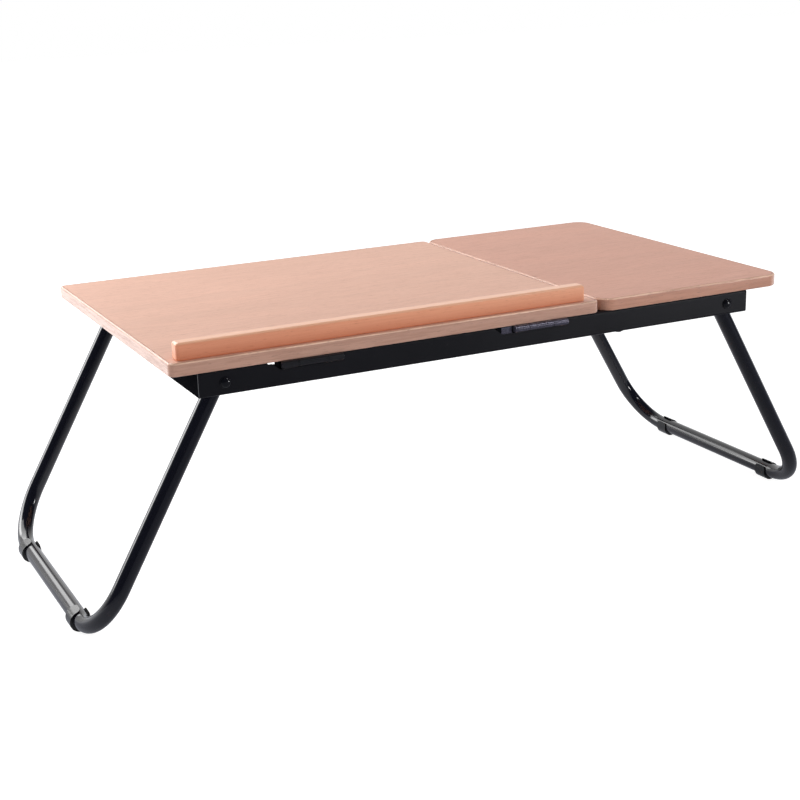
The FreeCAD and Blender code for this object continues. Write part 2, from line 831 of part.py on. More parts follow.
def leg(side):
    """One U-shaped tube with its plugs and feet, leaning outwards."""
    way = -1 if side == "left" else 1
    spread = s.leg_rear_y - s.leg_front_y
    body = new_body(side + "_tube_body")
    path = sketch(body, side + "_tube_path", "YZ_Plane")
    outline(path, [
        (0, s.tube_past_pivot), (0, -s.leg_length, s.tube_bend),
        (spread, -s.leg_length, s.tube_bend), (spread, s.tube_past_pivot),
    ], closed=False)
    face = sketch(body, side + "_tube_face", "XY_Plane", s.tube_past_pivot)
    ring(face, (0, 0), (s.tube_radius, s.tube_radius - s.tube_wall))
    doc.recompute()
    pipe = body.newObject("PartDesign::AdditivePipe", side + "_tube_pipe")
    pipe.Profile = face
    pipe.Spine = (path, [f"Edge{n + 1}" for n in range(len(path.Shape.Edges))])
    hole = cylinder(side + "_tube_hole", "Y", s.rivet_shank + s.pivot_clearance,
                    spread + s.tube_radius * 4, 0, -s.tube_radius * 2, 0)
    tube = cut(side + "_tube", body, [hole])
    at = (s.pivot_x * way, s.leg_front_y, s.pivot_z)
    turn = ((0, 1, 0), s.leg_lean * -way)
    node(place(tube, *at, *turn), side + "_leg_tube")

    plug = turned(side + "_plug", [
        (0, -s.plug_stem), (s.tube_radius - s.tube_wall, -s.plug_stem),
        (s.tube_radius - s.tube_wall, 0), (s.tube_radius, 0),
        (s.tube_radius - s.plug_cap / 2, s.plug_cap), (0, s.plug_cap),
    ])
    ends = [(0, y, s.tube_past_pivot, *UP) for y in (0, spread)]
    node(place(copies(side + "_plugs", plug, ends), *at, *turn), side + "_leg_end_plugs")

    run = s.tube_bend + s.foot_bend_gap
    for name, start in (("front", run), ("rear", spread - run - s.foot_width)):
        foot = place(foot_clip(f"{side}_{name}"), 0, start, -s.leg_length)
        node(place(group(f"{side}_{name}_clip", [foot]), *at, *turn), f"{side}_{name}_foot")


def foot_clip(name):
    """A C-shaped clip, thickest under the tube, that opens towards the leg's pivot; along Y from 0."""
    def at(radius, angle, drop=0):
        return (radius * sin(size(angle)), radius * cos(size(angle)) - drop)
    inner = s.tube_radius
    outer = s.foot_radius
    drop = s.foot_offset
    tip = inner + s.foot_lip_gap
    shoulder = s.foot_shoulder_half
    corners = [
        at(outer, shoulder, drop), at(outer, 180, drop), at(outer, -shoulder, drop),
        at(tip, -s.foot_lip_half), at(inner, -s.foot_mouth_half), at(inner, 180),
        at(inner, s.foot_mouth_half), at(tip, s.foot_lip_half),
    ]
    arcs = {0: (outer, -1), 1: (outer, -1), 4: (inner, 1), 5: (inner, 1)}
    body = new_body(name + "_foot_body")
    face = outline(sketch(body, name + "_foot_face", "XZ_Plane"), corners, arcs)
    pad(body, name + "_foot_pad", face, s.foot_width, back=True)
    return body


def leg_pivots():
    """Rivets and spacers that carry the legs; returns the rivets as cutters for the rails."""
    through = s.leg_inset + s.tube_radius + s.end_gap
    tail = s.rivet_tail_height
    corners = [
        (0, -s.rivet_head_height), (s.rivet_head, 0), (s.rivet_shank, 0), (s.rivet_shank, through),
        (s.rivet_tail, through), (s.rivet_tail, through + tail / 2), (0, through + tail),
    ]
    bulge = dome_head(s.rivet_head, s.rivet_head_height)
    rivet = turned("pivot_rivet", corners, {0: (bulge, 1)})
    length = s.leg_inset - s.tube_radius - s.rail_sheet - s.end_gap
    spacer = turned("pivot_spacer", [
        (s.rivet_shank, 0), (s.spacer_radius, 0), (s.spacer_radius, length), (s.rivet_shank, length),
    ])
    rivets, spacers = [], []
    for _, outer, inward in both_rails():
        turn = ((1, 0, 0), -90 * inward)
        for way in (-1, 1):
            rivets.append((s.pivot_x * way, outer, s.pivot_z, *turn))
            spacers.append((s.pivot_x * way, outer + s.rail_sheet * inward, s.pivot_z, *turn))
    node(copies("pivot_spacers", spacer, spacers), "leg_pivot_spacers")
    return node(copies("pivot_rivets", rivet, rivets), "leg_pivot_rivets")


# Prop and rack

def prop_rod():
    """The bent wire: a closed side along X, two arms towards the front, feet turned outwards."""
    body = new_body("prop_body")
    path = sketch(body, "prop_path", "XY_Plane")
    arm, reach = s.prop_half_span, s.prop_half_reach
    far = -s.prop_length
    bend = s.prop_bend
    outline(path, [
        (-reach, far), (-arm, far, bend), (-arm, 0, bend), (arm, 0, bend), (arm, far, bend), (reach, far),
    ], closed=False)
    face = ring(sketch(body, "prop_face", "YZ_Plane", -reach), (far, 0), (s.prop_radius,))
    doc.recompute()
    pipe = body.newObject("PartDesign::AdditivePipe", "prop_pipe")
    pipe.Profile = face
    pipe.Spine = (path, [f"Edge{n + 1}" for n in range(len(path.Shape.Edges))])
    node(place(body, s.prop_x, s.prop_y, s.prop_z), "prop_rod")


def prop_clip(side, x, screws):
    """A plastic saddle that holds the closed side of the prop under the board."""
    half = s.prop_clip_width / 2
    span = (x - half, x + half)
    wall = s.prop_radius + s.prop_clearance + s.prop_clip_wall
    pieces = [
        box(side + "_clip_base", span, (s.prop_y - s.prop_clip_reach, s.prop_y + s.prop_clip_reach),
            (s.rail_z1 - s.prop_clip_base, s.rail_z1)),
        box(side + "_clip_neck", span, (s.prop_y - wall, s.prop_y + wall), (s.prop_z, s.rail_z1)),
        cylinder(side + "_clip_round", "X", wall, s.prop_clip_width, span[0], s.prop_y, s.prop_z),
    ]
    bore = cylinder(side + "_clip_bore", "X", s.prop_radius + s.prop_clearance,
                    s.prop_clip_width * 2, x - s.prop_clip_width, s.prop_y, s.prop_z)
    blank = fuse(side + "_clip_blank", pieces)
    node(cut(side + "_clip", blank, [bore, screws]), side + "_prop_clip")


def rack_bars():
    """X ranges of the two rack bars, as side, way and range."""
    found = []
    for side, way in (("left", -1), ("right", 1)):
        ends = [s.prop_x + s.rack_inner * way, s.prop_x + (s.rack_inner + s.rack_bar_width) * way]
        found.append((side, way, tuple(ends[::way])))
    return found


def rack_block(side, way, bar, screws):
    """A toothed block under a rack bar: the prop's feet stand in its notches."""
    inner = s.prop_x + (s.rack_inner - s.rack_tooth_width) * way
    x = (bar[0], inner) if way < 0 else (inner, bar[1])
    front = s.low_notch_y - s.notch_radius - s.rack_block_wall
    back = s.stand_y + s.notch_radius + s.rack_block_tail
    blank = box(side + "_rack_blank", x, (front, back), (s.rack_bar_z - s.rack_block_height, s.rack_bar_z))
    room = (bar[1], inner + SPARE) if way < 0 else (inner - SPARE, bar[0])
    notches = []
    for name, y in (("low", s.low_notch_y), ("middle", s.middle_notch_y), ("high", s.stand_y)):
        notches.append(cylinder(f"{side}_{name}_notch", "X", s.notch_radius, room[1] - room[0],
                                room[0], y, s.stand_z))
        notches.append(box(f"{side}_{name}_way_in", room, (y - s.notch_radius, y + s.notch_radius),
                           (s.stand_z, s.rack_bar_z + SPARE)))
    node(cut(side + "_rack", blank, notches + [screws]), side + "_rack_block")


def build():
    """Make every sub-part of the table."""
    # Leg pivots and the fasteners of the frame come first, because they are cut out of what they hold.
    pivots = leg_pivots()
    mid_flange = (s.rail_flange + s.rail_sheet) / 2

    long = s.rail_sheet + s.board_screw_bite
    board_screw = pan_screw("board_screw", s.screw_head, s.screw_head_height, s.screw_shank, long)
    places = []
    for _, outer, inward in both_rails():
        for x in (s.cross_x1 + s.board_screw_inset, s.pivot_x - s.board_screw_inset):
            places.append((x, outer + mid_flange * inward, s.flange_z, *UP))
    centre_y = (s.front_y + s.rear_y) / 2
    for way in (-1, 1):
        x = (s.right_x0 + s.cross_x1) / 2
        places.append((x, centre_y + s.cross_screw_offset * way, s.flange_z, *UP))
    right_screws = fasteners("right_board_screws", board_screw, places)

    bump_length = s.rail_sheet * 2 + s.bump_bite
    bump = dome_screw("bump", s.bump_head, s.bump_height, s.screw_shank, bump_length)
    bump_x = s.cross_x1 - s.bracket_width / 2 + s.rail_sheet
    places = [(bump_x, outer + mid_flange * inward, s.rail_z0, *UP) for _, outer, inward in both_rails()]
    bumps = node(copies("bumps", bump, places), "bracket_screws")

    thick = s.rack_bar_thickness + s.rail_sheet
    bar_rivet = dome_screw("bar_rivet", s.bar_rivet_head, s.bar_rivet_height, s.screw_shank, thick)
    places = []
    for _, _, (x0, x1) in rack_bars():
        for _, outer, inward in both_rails():
            places.append(((x0 + x1) / 2, outer + mid_flange * inward, s.rack_bar_z, *UP))
    bar_rivets = node(copies("bar_rivets", bar_rivet, places), "rack_bar_rivets")

    rack_long = s.rack_block_height + s.rack_bar_thickness - s.end_gap * 2
    rack_screw = sunk_screw("rack_screw", s.leaf_screw_head, s.leaf_screw_head_height,
                            s.leaf_screw_shank, rack_long)
    places = []
    for _, _, (x0, x1) in rack_bars():
        for y in (s.low_notch_y, s.stand_y + s.notch_radius):
            places.append(((x0 + x1) / 2, y, s.rack_bar_z - s.rack_block_height, *UP))
    rack_screws = fasteners("rack_screws", rack_screw, places)

    # Frame
    hinges = [Hinge("left"), Hinge("right")]
    notches = [hinge.notch() for hinge in hinges]
    rail("front", s.front_y, 1, notches + [pivots, right_screws, bumps, bar_rivets])
    rail("rear", s.rear_y, -1, [pivots, right_screws, bumps, bar_rivets])
    end_rail("left")
    end_rail("right")
    cross_member([right_screws])
    brackets([bumps])
    for side, way, bar in rack_bars():
        y = (s.front_y + s.rail_bend, s.rear_y - s.rail_bend)
        blank = box(side + "_bar_blank", bar, y, (s.rack_bar_z, s.flange_z))
        node(cut(side + "_bar", blank, [bar_rivets, rack_screws]), side + "_rack_bar")
        rack_block(side, way, bar, rack_screws)

    # Fixed board
    right_y = (s.front_y - s.right_board_lead, s.front_y - s.right_board_lead + s.right_board_depth)
    board("right", (s.right_x0, s.right_x1), right_y, [right_screws])

    # Tilting board
    leaf_long = s.leaf_thickness + s.leaf_screw_bite
    leaf_screw = sunk_screw("leaf_screw", s.leaf_screw_head, s.leaf_screw_head_height,
                            s.leaf_screw_shank, leaf_long)
    places = hinges[0].screw_places() + hinges[1].screw_places()
    leaf_screws = fasteners("hinge_screws", leaf_screw, places)
    for hinge in hinges:
        hinge.frame_leaf()
        hinge.board_leaf([leaf_screws])
        hinge.pin()

    ledge_long = s.board_thickness + s.ledge_screw_bite
    ledge_screw = sunk_screw("ledge_screw", s.screw_head, s.screw_head_height, s.screw_shank, ledge_long)
    ledge_x = (s.left_x0 + s.ledge_left_inset, s.left_x1 - s.ledge_right_inset)
    ledge_y = s.front_y + s.ledge_front_inset + s.ledge_width / 2
    step = (ledge_x[1] - ledge_x[0]) / LEDGE_SCREWS
    first = ledge_x[0] + step / 2
    places = [(first + step * number, ledge_y, s.rail_z1, *UP) for number in range(LEDGE_SCREWS)]
    ledge_screws = fasteners("ledge_screws", ledge_screw, places)

    clip_long = s.prop_clip_base + s.board_screw_bite
    clip_screw = pan_screw("clip_screw", s.clip_screw_head, s.screw_head_height, s.leaf_screw_shank,
                           clip_long)
    wall = s.prop_radius + s.prop_clearance + s.prop_clip_wall
    reach = (s.prop_clip_reach + wall) / 2
    places = []
    for way in (-1, 1):
        for end in (-1, 1):
            x = s.prop_x + s.prop_clip_offset * way
            places.append((x, s.prop_y + reach * end, s.rail_z1 - s.prop_clip_base, *UP))
    clip_screws = fasteners("prop_clip_screws", clip_screw, places)
    for side, way in (("left", -1), ("right", 1)):
        prop_clip(side, s.prop_x + s.prop_clip_offset * way, clip_screws)

    left_y = (s.front_y, s.front_y + s.left_board_depth)
    board("left", (s.left_x0, s.left_x1), left_y, [leaf_screws, ledge_screws, clip_screws])
    ledge([ledge_screws])
    prop_rod()
    leg("left")
    leg("right")


def check():
    """Stop on any failed object, and on any sub-part that isn't a sound solid."""
    doc.recompute()
    for thing in doc.Objects:
        if "Invalid" in thing.State or "Error" in thing.State:
            raise ValueError(f"{thing.Name} failed: {thing.State}")
    for part in NODES:
        if part.Shape.isNull() or not part.Shape.isValid() or not part.Shape.Solids:
            raise ValueError(f"{part.Label} is not a sound solid")


def write():
    """One STEP file for each sub-part."""
    os.makedirs("parts", exist_ok=True)
    whole = FreeCAD.BoundBox()
    for part in NODES:
        part.Shape.exportStep(os.path.join("parts", part.Label + ".step"))
        whole.add(part.Shape.optimalBoundingBox(False, False))
        print(f"{part.Label}: {len(part.Shape.Solids)} solids, {part.Shape.Volume:.1f} mm3")
    print(f"{len(NODES)} sub-parts, {whole}")


build()
check()
write()
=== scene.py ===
"""A folding bed table: two wood-tone boards on a black steel frame with folding tube legs.

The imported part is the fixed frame. This script gives every sub-part its finished shape and its surface,
and sets up a plain studio with the photograph's camera. All lengths are in metres, angles in radians.
"""

from __future__ import annotations

import json
import logging
import math
from dataclasses import dataclass, field, replace
from enum import Enum
from typing import Any, Callable, Iterable, Sequence, Union

import bmesh
import bpy
from mathutils import Matrix, Vector

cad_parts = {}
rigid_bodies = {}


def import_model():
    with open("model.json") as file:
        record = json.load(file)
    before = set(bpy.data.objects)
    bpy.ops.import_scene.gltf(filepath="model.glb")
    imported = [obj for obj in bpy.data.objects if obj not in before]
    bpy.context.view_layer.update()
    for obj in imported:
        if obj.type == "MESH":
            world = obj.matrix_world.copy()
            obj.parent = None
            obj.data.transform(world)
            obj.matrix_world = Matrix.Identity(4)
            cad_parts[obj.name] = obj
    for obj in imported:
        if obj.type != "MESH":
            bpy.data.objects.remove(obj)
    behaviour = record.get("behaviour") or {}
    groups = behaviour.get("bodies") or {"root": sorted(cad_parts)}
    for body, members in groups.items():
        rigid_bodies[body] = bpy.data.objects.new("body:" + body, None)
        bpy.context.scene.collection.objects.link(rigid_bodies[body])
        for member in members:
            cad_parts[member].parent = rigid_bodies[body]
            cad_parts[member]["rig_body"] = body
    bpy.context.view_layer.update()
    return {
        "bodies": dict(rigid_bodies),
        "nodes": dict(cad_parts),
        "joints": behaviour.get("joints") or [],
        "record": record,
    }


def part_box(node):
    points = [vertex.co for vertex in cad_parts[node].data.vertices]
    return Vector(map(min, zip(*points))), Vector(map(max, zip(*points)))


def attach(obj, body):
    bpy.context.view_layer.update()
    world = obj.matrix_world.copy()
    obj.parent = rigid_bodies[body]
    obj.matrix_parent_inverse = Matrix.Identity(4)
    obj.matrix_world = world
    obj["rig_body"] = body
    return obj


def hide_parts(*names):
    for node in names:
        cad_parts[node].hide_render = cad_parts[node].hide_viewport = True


LOG = logging.getLogger("bed_table")
MM = 0.001
Colour = tuple[float, float, float]
Number = Union["Flow", float]


def srgb(red: int, green: int, blue: int) -> Colour:
    """Turn a colour as a screen shows it into the linear one that shaders use.

    Args:
        red: Red from 0 to 255.
        green: Green from 0 to 255.
        blue: Blue from 0 to 255.

    Returns:
        The linear colour.
    """
    def linear(level: int) -> float:
        """One channel of it."""
        share = level / 255
        return share / 12.92 if share <= 0.04045 else ((share + 0.055) / 1.055) ** 2.4
    return linear(red), linear(green), linear(blue)


# Shaders


class Flow:
    """A value in a shader: one socket, with Python's operators."""

    def __init__(self, graph: Graph, socket: bpy.types.NodeSocket) -> None:
        """Wrap a socket of a graph."""
        self.graph = graph
        self.socket = socket

    def __add__(self, other: Number) -> Flow:
        """Sum."""
        return self.graph.maths("ADD", self, other)

    def __sub__(self, other: Number) -> Flow:
        """Difference."""
        return self.graph.maths("SUBTRACT", self, other)

    def __rsub__(self, other: Number) -> Flow:
        """Difference from a number."""
        return self.graph.maths("SUBTRACT", other, self)

    def __mul__(self, other: Number) -> Flow:
        """Product."""
        return self.graph.maths("MULTIPLY", self, other)

    def __truediv__(self, other: Number) -> Flow:
        """Quotient."""
        return self.graph.maths("DIVIDE", self, other)

    def over(self, edge: float, soft: float) -> Flow:
        """Rise from 0 to 1 as the value passes an edge.

        Args:
            edge: The value at the middle of the rise.
            soft: Half the width of the rise.

        Returns:
            The rising value.
        """
        node = self.graph.node("ShaderNodeMapRange", {"interpolation_type": "SMOOTHSTEP"},
                               {0: self, 1: edge - soft, 2: edge + soft, 3: 0.0, 4: 1.0})
        return Flow(self.graph, node.outputs[0])


class Graph:
    """The node tree of one material or world."""

    def __init__(self, tree: bpy.types.NodeTree) -> None:
        """Start from an empty tree."""
        self.tree = tree
        tree.nodes.clear()

    def node(self, kind: str, settings: dict[str, Any] | None = None,
             inputs: dict[str | int, Any] | None = None) -> bpy.types.Node:
        """Add any node.

        Args:
            kind: The node's type.
            settings: Its own properties, set first.
            inputs: Values or links of its sockets, by name or number.

        Returns:
            The node.
        """
        node = self.tree.nodes.new(kind)
        for name, value in (settings or {}).items():
            setattr(node, name, value)
        for name, value in (inputs or {}).items():
            socket = node.inputs[name]
            if isinstance(value, Flow):
                self.tree.links.new(value.socket, socket)
            elif isinstance(value, tuple) and len(value) == 3 and socket.type == "RGBA":
                socket.default_value = (*value, 1.0)
            else:
                socket.default_value = value
        return node

    def flow(self, kind: str, settings: dict[str, Any] | None = None,
             inputs: dict[str | int, Any] | None = None, output: str | int = 0) -> Flow:
        """Add a node and take one of its outputs."""
        return Flow(self, self.node(kind, settings, inputs).outputs[output])

    def maths(self, operation: str, first: Number, second: Number) -> Flow:
        """Add a Math node."""
        return self.flow("ShaderNodeMath", {"operation": operation}, {0: first, 1: second})

    def mix(self, share: Number, first: Flow | Colour, second: Flow | Colour) -> Flow:
        """Blend two colours."""
        return self.flow("ShaderNodeMix", {"data_type": "RGBA"}, {0: share, 6: first, 7: second}, 2)

    def place(self, scale: Sequence[float] = (1, 1, 1), move: Sequence[float] = (0, 0, 0)) -> Flow:
        """Object coordinates, moved and stretched."""
        where = self.flow("ShaderNodeTexCoord", output="Object")
        return self.flow("ShaderNodeMapping", {"vector_type": "POINT"},
                         {"Vector": where, "Location": move, "Scale": scale})

    def where(self, axis: int) -> Flow:
        """One object coordinate."""
        parts = self.node("ShaderNodeSeparateXYZ", None, {0: self.place()})
        return Flow(self, parts.outputs[axis])

    def normal(self, axis: int) -> Flow:
        """One part of the surface's direction."""
        normal = self.flow("ShaderNodeTexCoord", output="Normal")
        return Flow(self, self.node("ShaderNodeSeparateXYZ", None, {0: normal}).outputs[axis])

    def noise(self, where: Flow, detail: float, scale: float = 1.0, rough: float = 0.5,
              warp: float = 0.0) -> Flow:
        """Noise between 0 and 1."""
        return self.flow("ShaderNodeTexNoise", {"noise_dimensions": "3D"},
                         {"Vector": where, "Scale": scale, "Detail": detail, "Roughness": rough,
                          "Distortion": warp})

    def facing(self) -> Flow:
        """How far the surface turns away from the eye, from 0 to 1."""
        weight = self.flow("ShaderNodeLayerWeight", None, {"Blend": 0.5}, "Facing")
        return weight.over(edge=0.5, soft=0.2)

    def bump(self, height: Flow, strength: float, depth: float) -> Flow:
        """A bumped normal."""
        return self.flow("ShaderNodeBump", None,
                         {"Strength": strength, "Distance": depth, "Height": height}, "Normal")

    def surface(self, inputs: dict[str | int, Any]) -> None:
        """End the graph in a Principled shader."""
        shader = self.flow("ShaderNodeBsdfPrincipled", None, inputs)
        self.node("ShaderNodeOutputMaterial", None, {"Surface": shader})


def tint(colour: Colour, factor: float) -> Colour:
    """A colour made lighter or darker."""
    return tuple(min(1.0, level * factor) for level in colour)


@dataclass(frozen=True)
class Finish:
    """The surface of one kind of piece."""

    name: str
    slot: str

    def paint(self, graph: Graph) -> None:
        """Draw the finish; each kind has its own."""
        raise NotImplementedError

    def material(self) -> bpy.types.Material:
        """The Blender material of this finish, made once."""
        found = bpy.data.materials.get(self.name)
        if found:
            return found
        made = bpy.data.materials.new(self.name)
        made.use_nodes = True
        self.paint(Graph(made.node_tree))
        return made


class Along(Enum):
    """The way a grain runs."""

    X = "x"
    Y = "y"


@dataclass(frozen=True)
class WoodPrint(Finish):
    """Printed beech foil: cloudy tone, long soft streaks and short dark pores."""

    colour: Colour
    contrast: float = 1.0
    roughness: float = 0.42
    shift: float = 0.0
    coat: float = 0.0
    paler: float = 0.09
    darker: Colour = (0.86, 0.80, 0.77)
    streak_share: float = 0.55
    pore_share: float = 0.5
    relief: float = 0.12 * MM

    def streaks(self, graph: Graph, way: Along) -> tuple[Flow, Flow, Flow]:
        """Cloud, streak and pore patterns.

        Args:
            graph: The material's graph.
            way: The way the grain runs.

        Returns:
            The three patterns, each between 0 and 1.
        """
        def stretch(along: float, across: float) -> tuple[float, float, float]:
            """The scale of a pattern drawn out along the grain."""
            return (along, across, across) if way is Along.X else (across, along, across)
        move = (self.shift, self.shift * 0.7, 0.13)
        cloud = graph.noise(graph.place(stretch(5, 24), move), detail=3.0, rough=0.55, warp=0.4)
        streak = graph.noise(graph.place(stretch(26, 520), move), detail=5.0, rough=0.62, warp=0.5)
        pore = graph.noise(graph.place(stretch(150, 1500), move), detail=2.0)
        return cloud, streak, pore

    def patterns(self, graph: Graph) -> tuple[Flow, Flow, Flow]:
        """The patterns of this foil: straight along X."""
        return self.streaks(graph, Along.X)

    def toned(self, graph: Graph, tone: Flow) -> Flow:
        """The tone after any shading of its own; flat foil has none."""
        return tone

    def paint(self, graph: Graph) -> None:
        """Draw the foil."""
        cloud, streak, pore = self.patterns(graph)
        light = tint(self.colour, 1 + self.paler * self.contrast)
        dark = tuple(level * share for level, share in zip(self.colour, self.darker))
        tone = self.toned(graph, graph.mix(cloud.over(edge=0.5, soft=0.28), light, self.colour))
        streaked = streak.over(edge=0.56, soft=0.16) * (self.streak_share * self.contrast)
        tone = graph.mix(streaked, tone, dark)
        pores = pore.over(edge=0.64, soft=0.07) * (self.pore_share * self.contrast)
        tone = graph.mix(pores, tone, tint(dark, factor=0.80))
        graph.surface({
            "Base Color": tone,
            "Roughness": streak * 0.10 + (self.roughness - 0.05) + pores * 0.2,
            "Specular IOR Level": 0.30,
            "Coat Weight": self.coat,
            "Coat Roughness": 0.16,
            "Normal": graph.bump(streak * 0.4 - pores, 0.10, self.relief),
        })


@dataclass(frozen=True)
class BandPrint(WoodPrint):
    """Printed plastic band: its grain runs round the rim, and painted light makes its bent crest and top
    paler than its sides, with a painted sheen where it is seen edge-on.
    """

    # Painted light on the rim: tones for the bent crest, the highlight on the front crest, the lit top and
    # the sheen seen edge-on, and how strongly the sheen and crest tones show.
    painted_crest_light: Colour = srgb(228, 182, 158)
    painted_front_highlight: Colour = srgb(255, 217, 190)
    painted_top_light: Colour = srgb(226, 174, 152)
    painted_sheen: Colour = srgb(255, 226, 212)
    painted_sheen_share: float = 0.55
    painted_crest_share: float = 0.9

    def patterns(self, graph: Graph) -> tuple[Flow, Flow, Flow]:
        """The patterns along each side of the rim."""
        sideways = graph.normal(0)
        side = (sideways * sideways).over(edge=0.5, soft=0.05)
        front, end = self.streaks(graph, Along.X), self.streaks(graph, Along.Y)
        return tuple(a * (1 - side) + b * side for a, b in zip(front, end))

    def toned(self, graph: Graph, tone: Flow) -> Flow:
        """Painted light and sheen: a painted sheen where the band is seen along its skin, paler painted
        light on the bent crest, a painted highlight on the front crest, and the foil's lighter tone painted
        on the top.
        """
        up = graph.normal(2)
        tone = graph.mix(graph.facing() * self.painted_sheen_share, tone, self.painted_sheen)
        tone = graph.mix(up.over(edge=0.38, soft=0.14) * self.painted_crest_share, tone, self.painted_crest_light)
        ahead = (0 - graph.normal(1)).over(edge=0.45, soft=0.2)
        tone = graph.mix(up.over(edge=0.35, soft=0.15) * ahead, tone, self.painted_front_highlight)
        return graph.mix(up.over(edge=0.93, soft=0.04), tone, self.painted_top_light)


@dataclass(frozen=True)
class LacqueredWood(Finish):
    """Solid wood, stained and lacquered, with fine grain; painted light makes it paler on top and at its +X
    end, with a painted sheen where it is seen edge-on, and painted shade makes it darker at the foot.
    """

    colour: Colour
    # Colour of the grain, and of the painted shade at the foot.
    dark: Colour
    # Colour of the painted sheen seen edge-on and of the painted light on upward faces.
    pale: Colour
    low: tuple[float, float, float] = (0.0, 0.0, 0.0)
    high: tuple[float, float, float] = (1.0, 1.0, 1.0)
    # Shares of painted light at the +X end, painted shade at the foot and painted sheen seen edge-on, then
    # of the real grain's fibres and flecks.
    painted_end_light: float = 0.45
    painted_foot_shade: float = 0.6
    painted_sheen_share: float = 0.6
    fibre_share: float = 0.22
    fleck_share: float = 0.25
    relief: float = 0.1 * MM

    def share(self, graph: Graph, axis: int) -> Flow:
        """How far along the piece a place is, from 0 to 1."""
        return (graph.where(axis) - self.low[axis]) / (self.high[axis] - self.low[axis])

    def paint(self, graph: Graph) -> None:
        """Draw the wood."""
        cloud = graph.noise(graph.place((4, 60, 60)), detail=3.0, warp=0.3)
        fibre = graph.noise(graph.place((14, 900, 900)), detail=5.0, rough=0.65, warp=0.3)
        fleck = graph.noise(graph.place((160, 1700, 1700)), detail=2.0)
        # Painted light towards the +X end, and painted shade towards the foot.
        end = self.share(graph, 0).over(edge=0.5, soft=0.6) * self.painted_end_light
        foot = (1 - self.share(graph, 2).over(edge=0.4, soft=0.5)) * self.painted_foot_shade
        tone = graph.mix(cloud.over(edge=0.5, soft=0.3), self.colour, tint(self.colour, 0.9))
        tone = graph.mix(end, tone, tint(self.colour, 1.35))
        tone = graph.mix(foot, tone, self.dark)
        # Painted sheen where the wood is seen edge-on, and painted light on its upward faces.
        tone = graph.mix(graph.facing() * self.painted_sheen_share, tone, self.pale)
        tone = graph.mix(graph.normal(2).over(edge=0.55, soft=0.25), tone, self.pale)
        tone = graph.mix(fibre.over(edge=0.55, soft=0.2) * self.fibre_share, tone, self.dark)
        tone = graph.mix(fleck.over(edge=0.66, soft=0.06) * self.fleck_share, tone, tint(self.dark, 0.7))
        graph.surface({
            "Base Color": tone,
            "Roughness": fibre * 0.12 + 0.27,
            "Specular IOR Level": 0.35,
            "Coat Weight": 0.3,
            "Coat Roughness": 0.14,
            "Normal": graph.bump(fibre, 0.08, self.relief),
        })


@dataclass(frozen=True)
class PowderCoat(Finish):
    """Black powder coat: a faint pebbled skin, rubbed a little smoother in patches."""

    colour: Colour
    roughness: float
    specular: float
    pebble: float = 0.10
    relief: float = 0.08 * MM
    dust: Colour = srgb(70, 72, 80)

    def paint(self, graph: Graph) -> None:
        """Draw the coat."""
        where = graph.place()
        pebbles = graph.noise(where, scale=1100.0, detail=2.0)
        cloud = graph.noise(where, scale=26.0, detail=3.0, rough=0.6)
        dust = graph.noise(where, scale=420.0, detail=3.0, rough=0.7).over(edge=0.70, soft=0.05)
        tone = graph.mix(cloud, tint(self.colour, 0.8), tint(self.colour, 1.35))
        tone = graph.mix(dust * 0.10, tone, self.dust)
        graph.surface({
            "Base Color": tone,
            "Roughness": cloud * 0.12 + (self.roughness - 0.06) + dust * 0.08,
            "Specular IOR Level": self.specular,
            "Normal": graph.bump(pebbles, self.pebble, self.relief),
        })


@dataclass(frozen=True)
class MouldedPlastic(Finish):
    """Moulded plastic: a fine spark-eroded grain and faint flow marks."""

    colour: Colour
    roughness: float
    grain: float = 0.12
    relief: float = 0.05 * MM

    def paint(self, graph: Graph) -> None:
        """Draw the plastic."""
        grain = graph.noise(graph.place(), scale=2400.0, detail=2.0)
        flow = graph.noise(graph.place((30, 90, 30)), detail=3.0, warp=0.6)
        tone = graph.mix(flow, tint(self.colour, 0.75), tint(self.colour, 1.4))
        graph.surface({
            "Base Color": tone,
            "Roughness": flow * 0.14 + (self.roughness - 0.07),
            "Specular IOR Level": 0.5,
            "Normal": graph.bump(grain, self.grain, self.relief),
        })


@dataclass(frozen=True)
class PlatedSteel(Finish):
    """Plated or blackened steel: rolling marks along X, stains and worn lighter spots."""

    colour: Colour
    roughness: float
    metallic: float = 1.0
    brushed: float = 0.10
    relief: float = 0.03 * MM

    def paint(self, graph: Graph) -> None:
        """Draw the metal."""
        marks = graph.noise(graph.place((160, 4200, 4200)), detail=3.0, rough=0.6)
        stain = graph.noise(graph.place(), scale=140.0, detail=4.0, rough=0.65)
        stained = stain.over(edge=0.5, soft=0.25)
        tone = graph.mix(stained, tint(self.colour, 1.12), tint(self.colour, 0.72))
        tone = graph.mix(marks.over(edge=0.6, soft=0.12) * 0.3, tone, tint(self.colour, 0.6))
        graph.surface({
            "Base Color": tone,
            "Metallic": self.metallic,
            "Roughness": stain * 0.16 + marks * 0.10 + (self.roughness - 0.12),
            "Normal": graph.bump(marks, self.brushed, self.relief),
        })


LEFT_FOIL = WoodPrint("left_board_foil", "laminate", srgb(228, 179, 156))
RIGHT_FOIL = WoodPrint("right_board_foil", "laminate", srgb(215, 159, 137), shift=0.61)
LEFT_BAND = BandPrint("left_edge_band", "edge_band", srgb(196, 154, 136), 1.4, 0.26, 0.0, 0.2)
RIGHT_BAND = BandPrint("right_edge_band", "edge_band", srgb(193, 143, 122), 1.4, 0.26, 0.4, 0.2)
# Its pale colour is the painted sheen and painted top light; its dark colour is both the painted shade at
# the foot and the grain.
LEDGE_WOOD = LacqueredWood("stained_ledge", "ledge_wood", srgb(246, 165, 129),
                           dark=srgb(206, 114, 76), pale=srgb(255, 196, 160))
FRAME_COAT = PowderCoat("frame_coat", "black_frame", srgb(21, 21, 25), 0.38, 0.18)
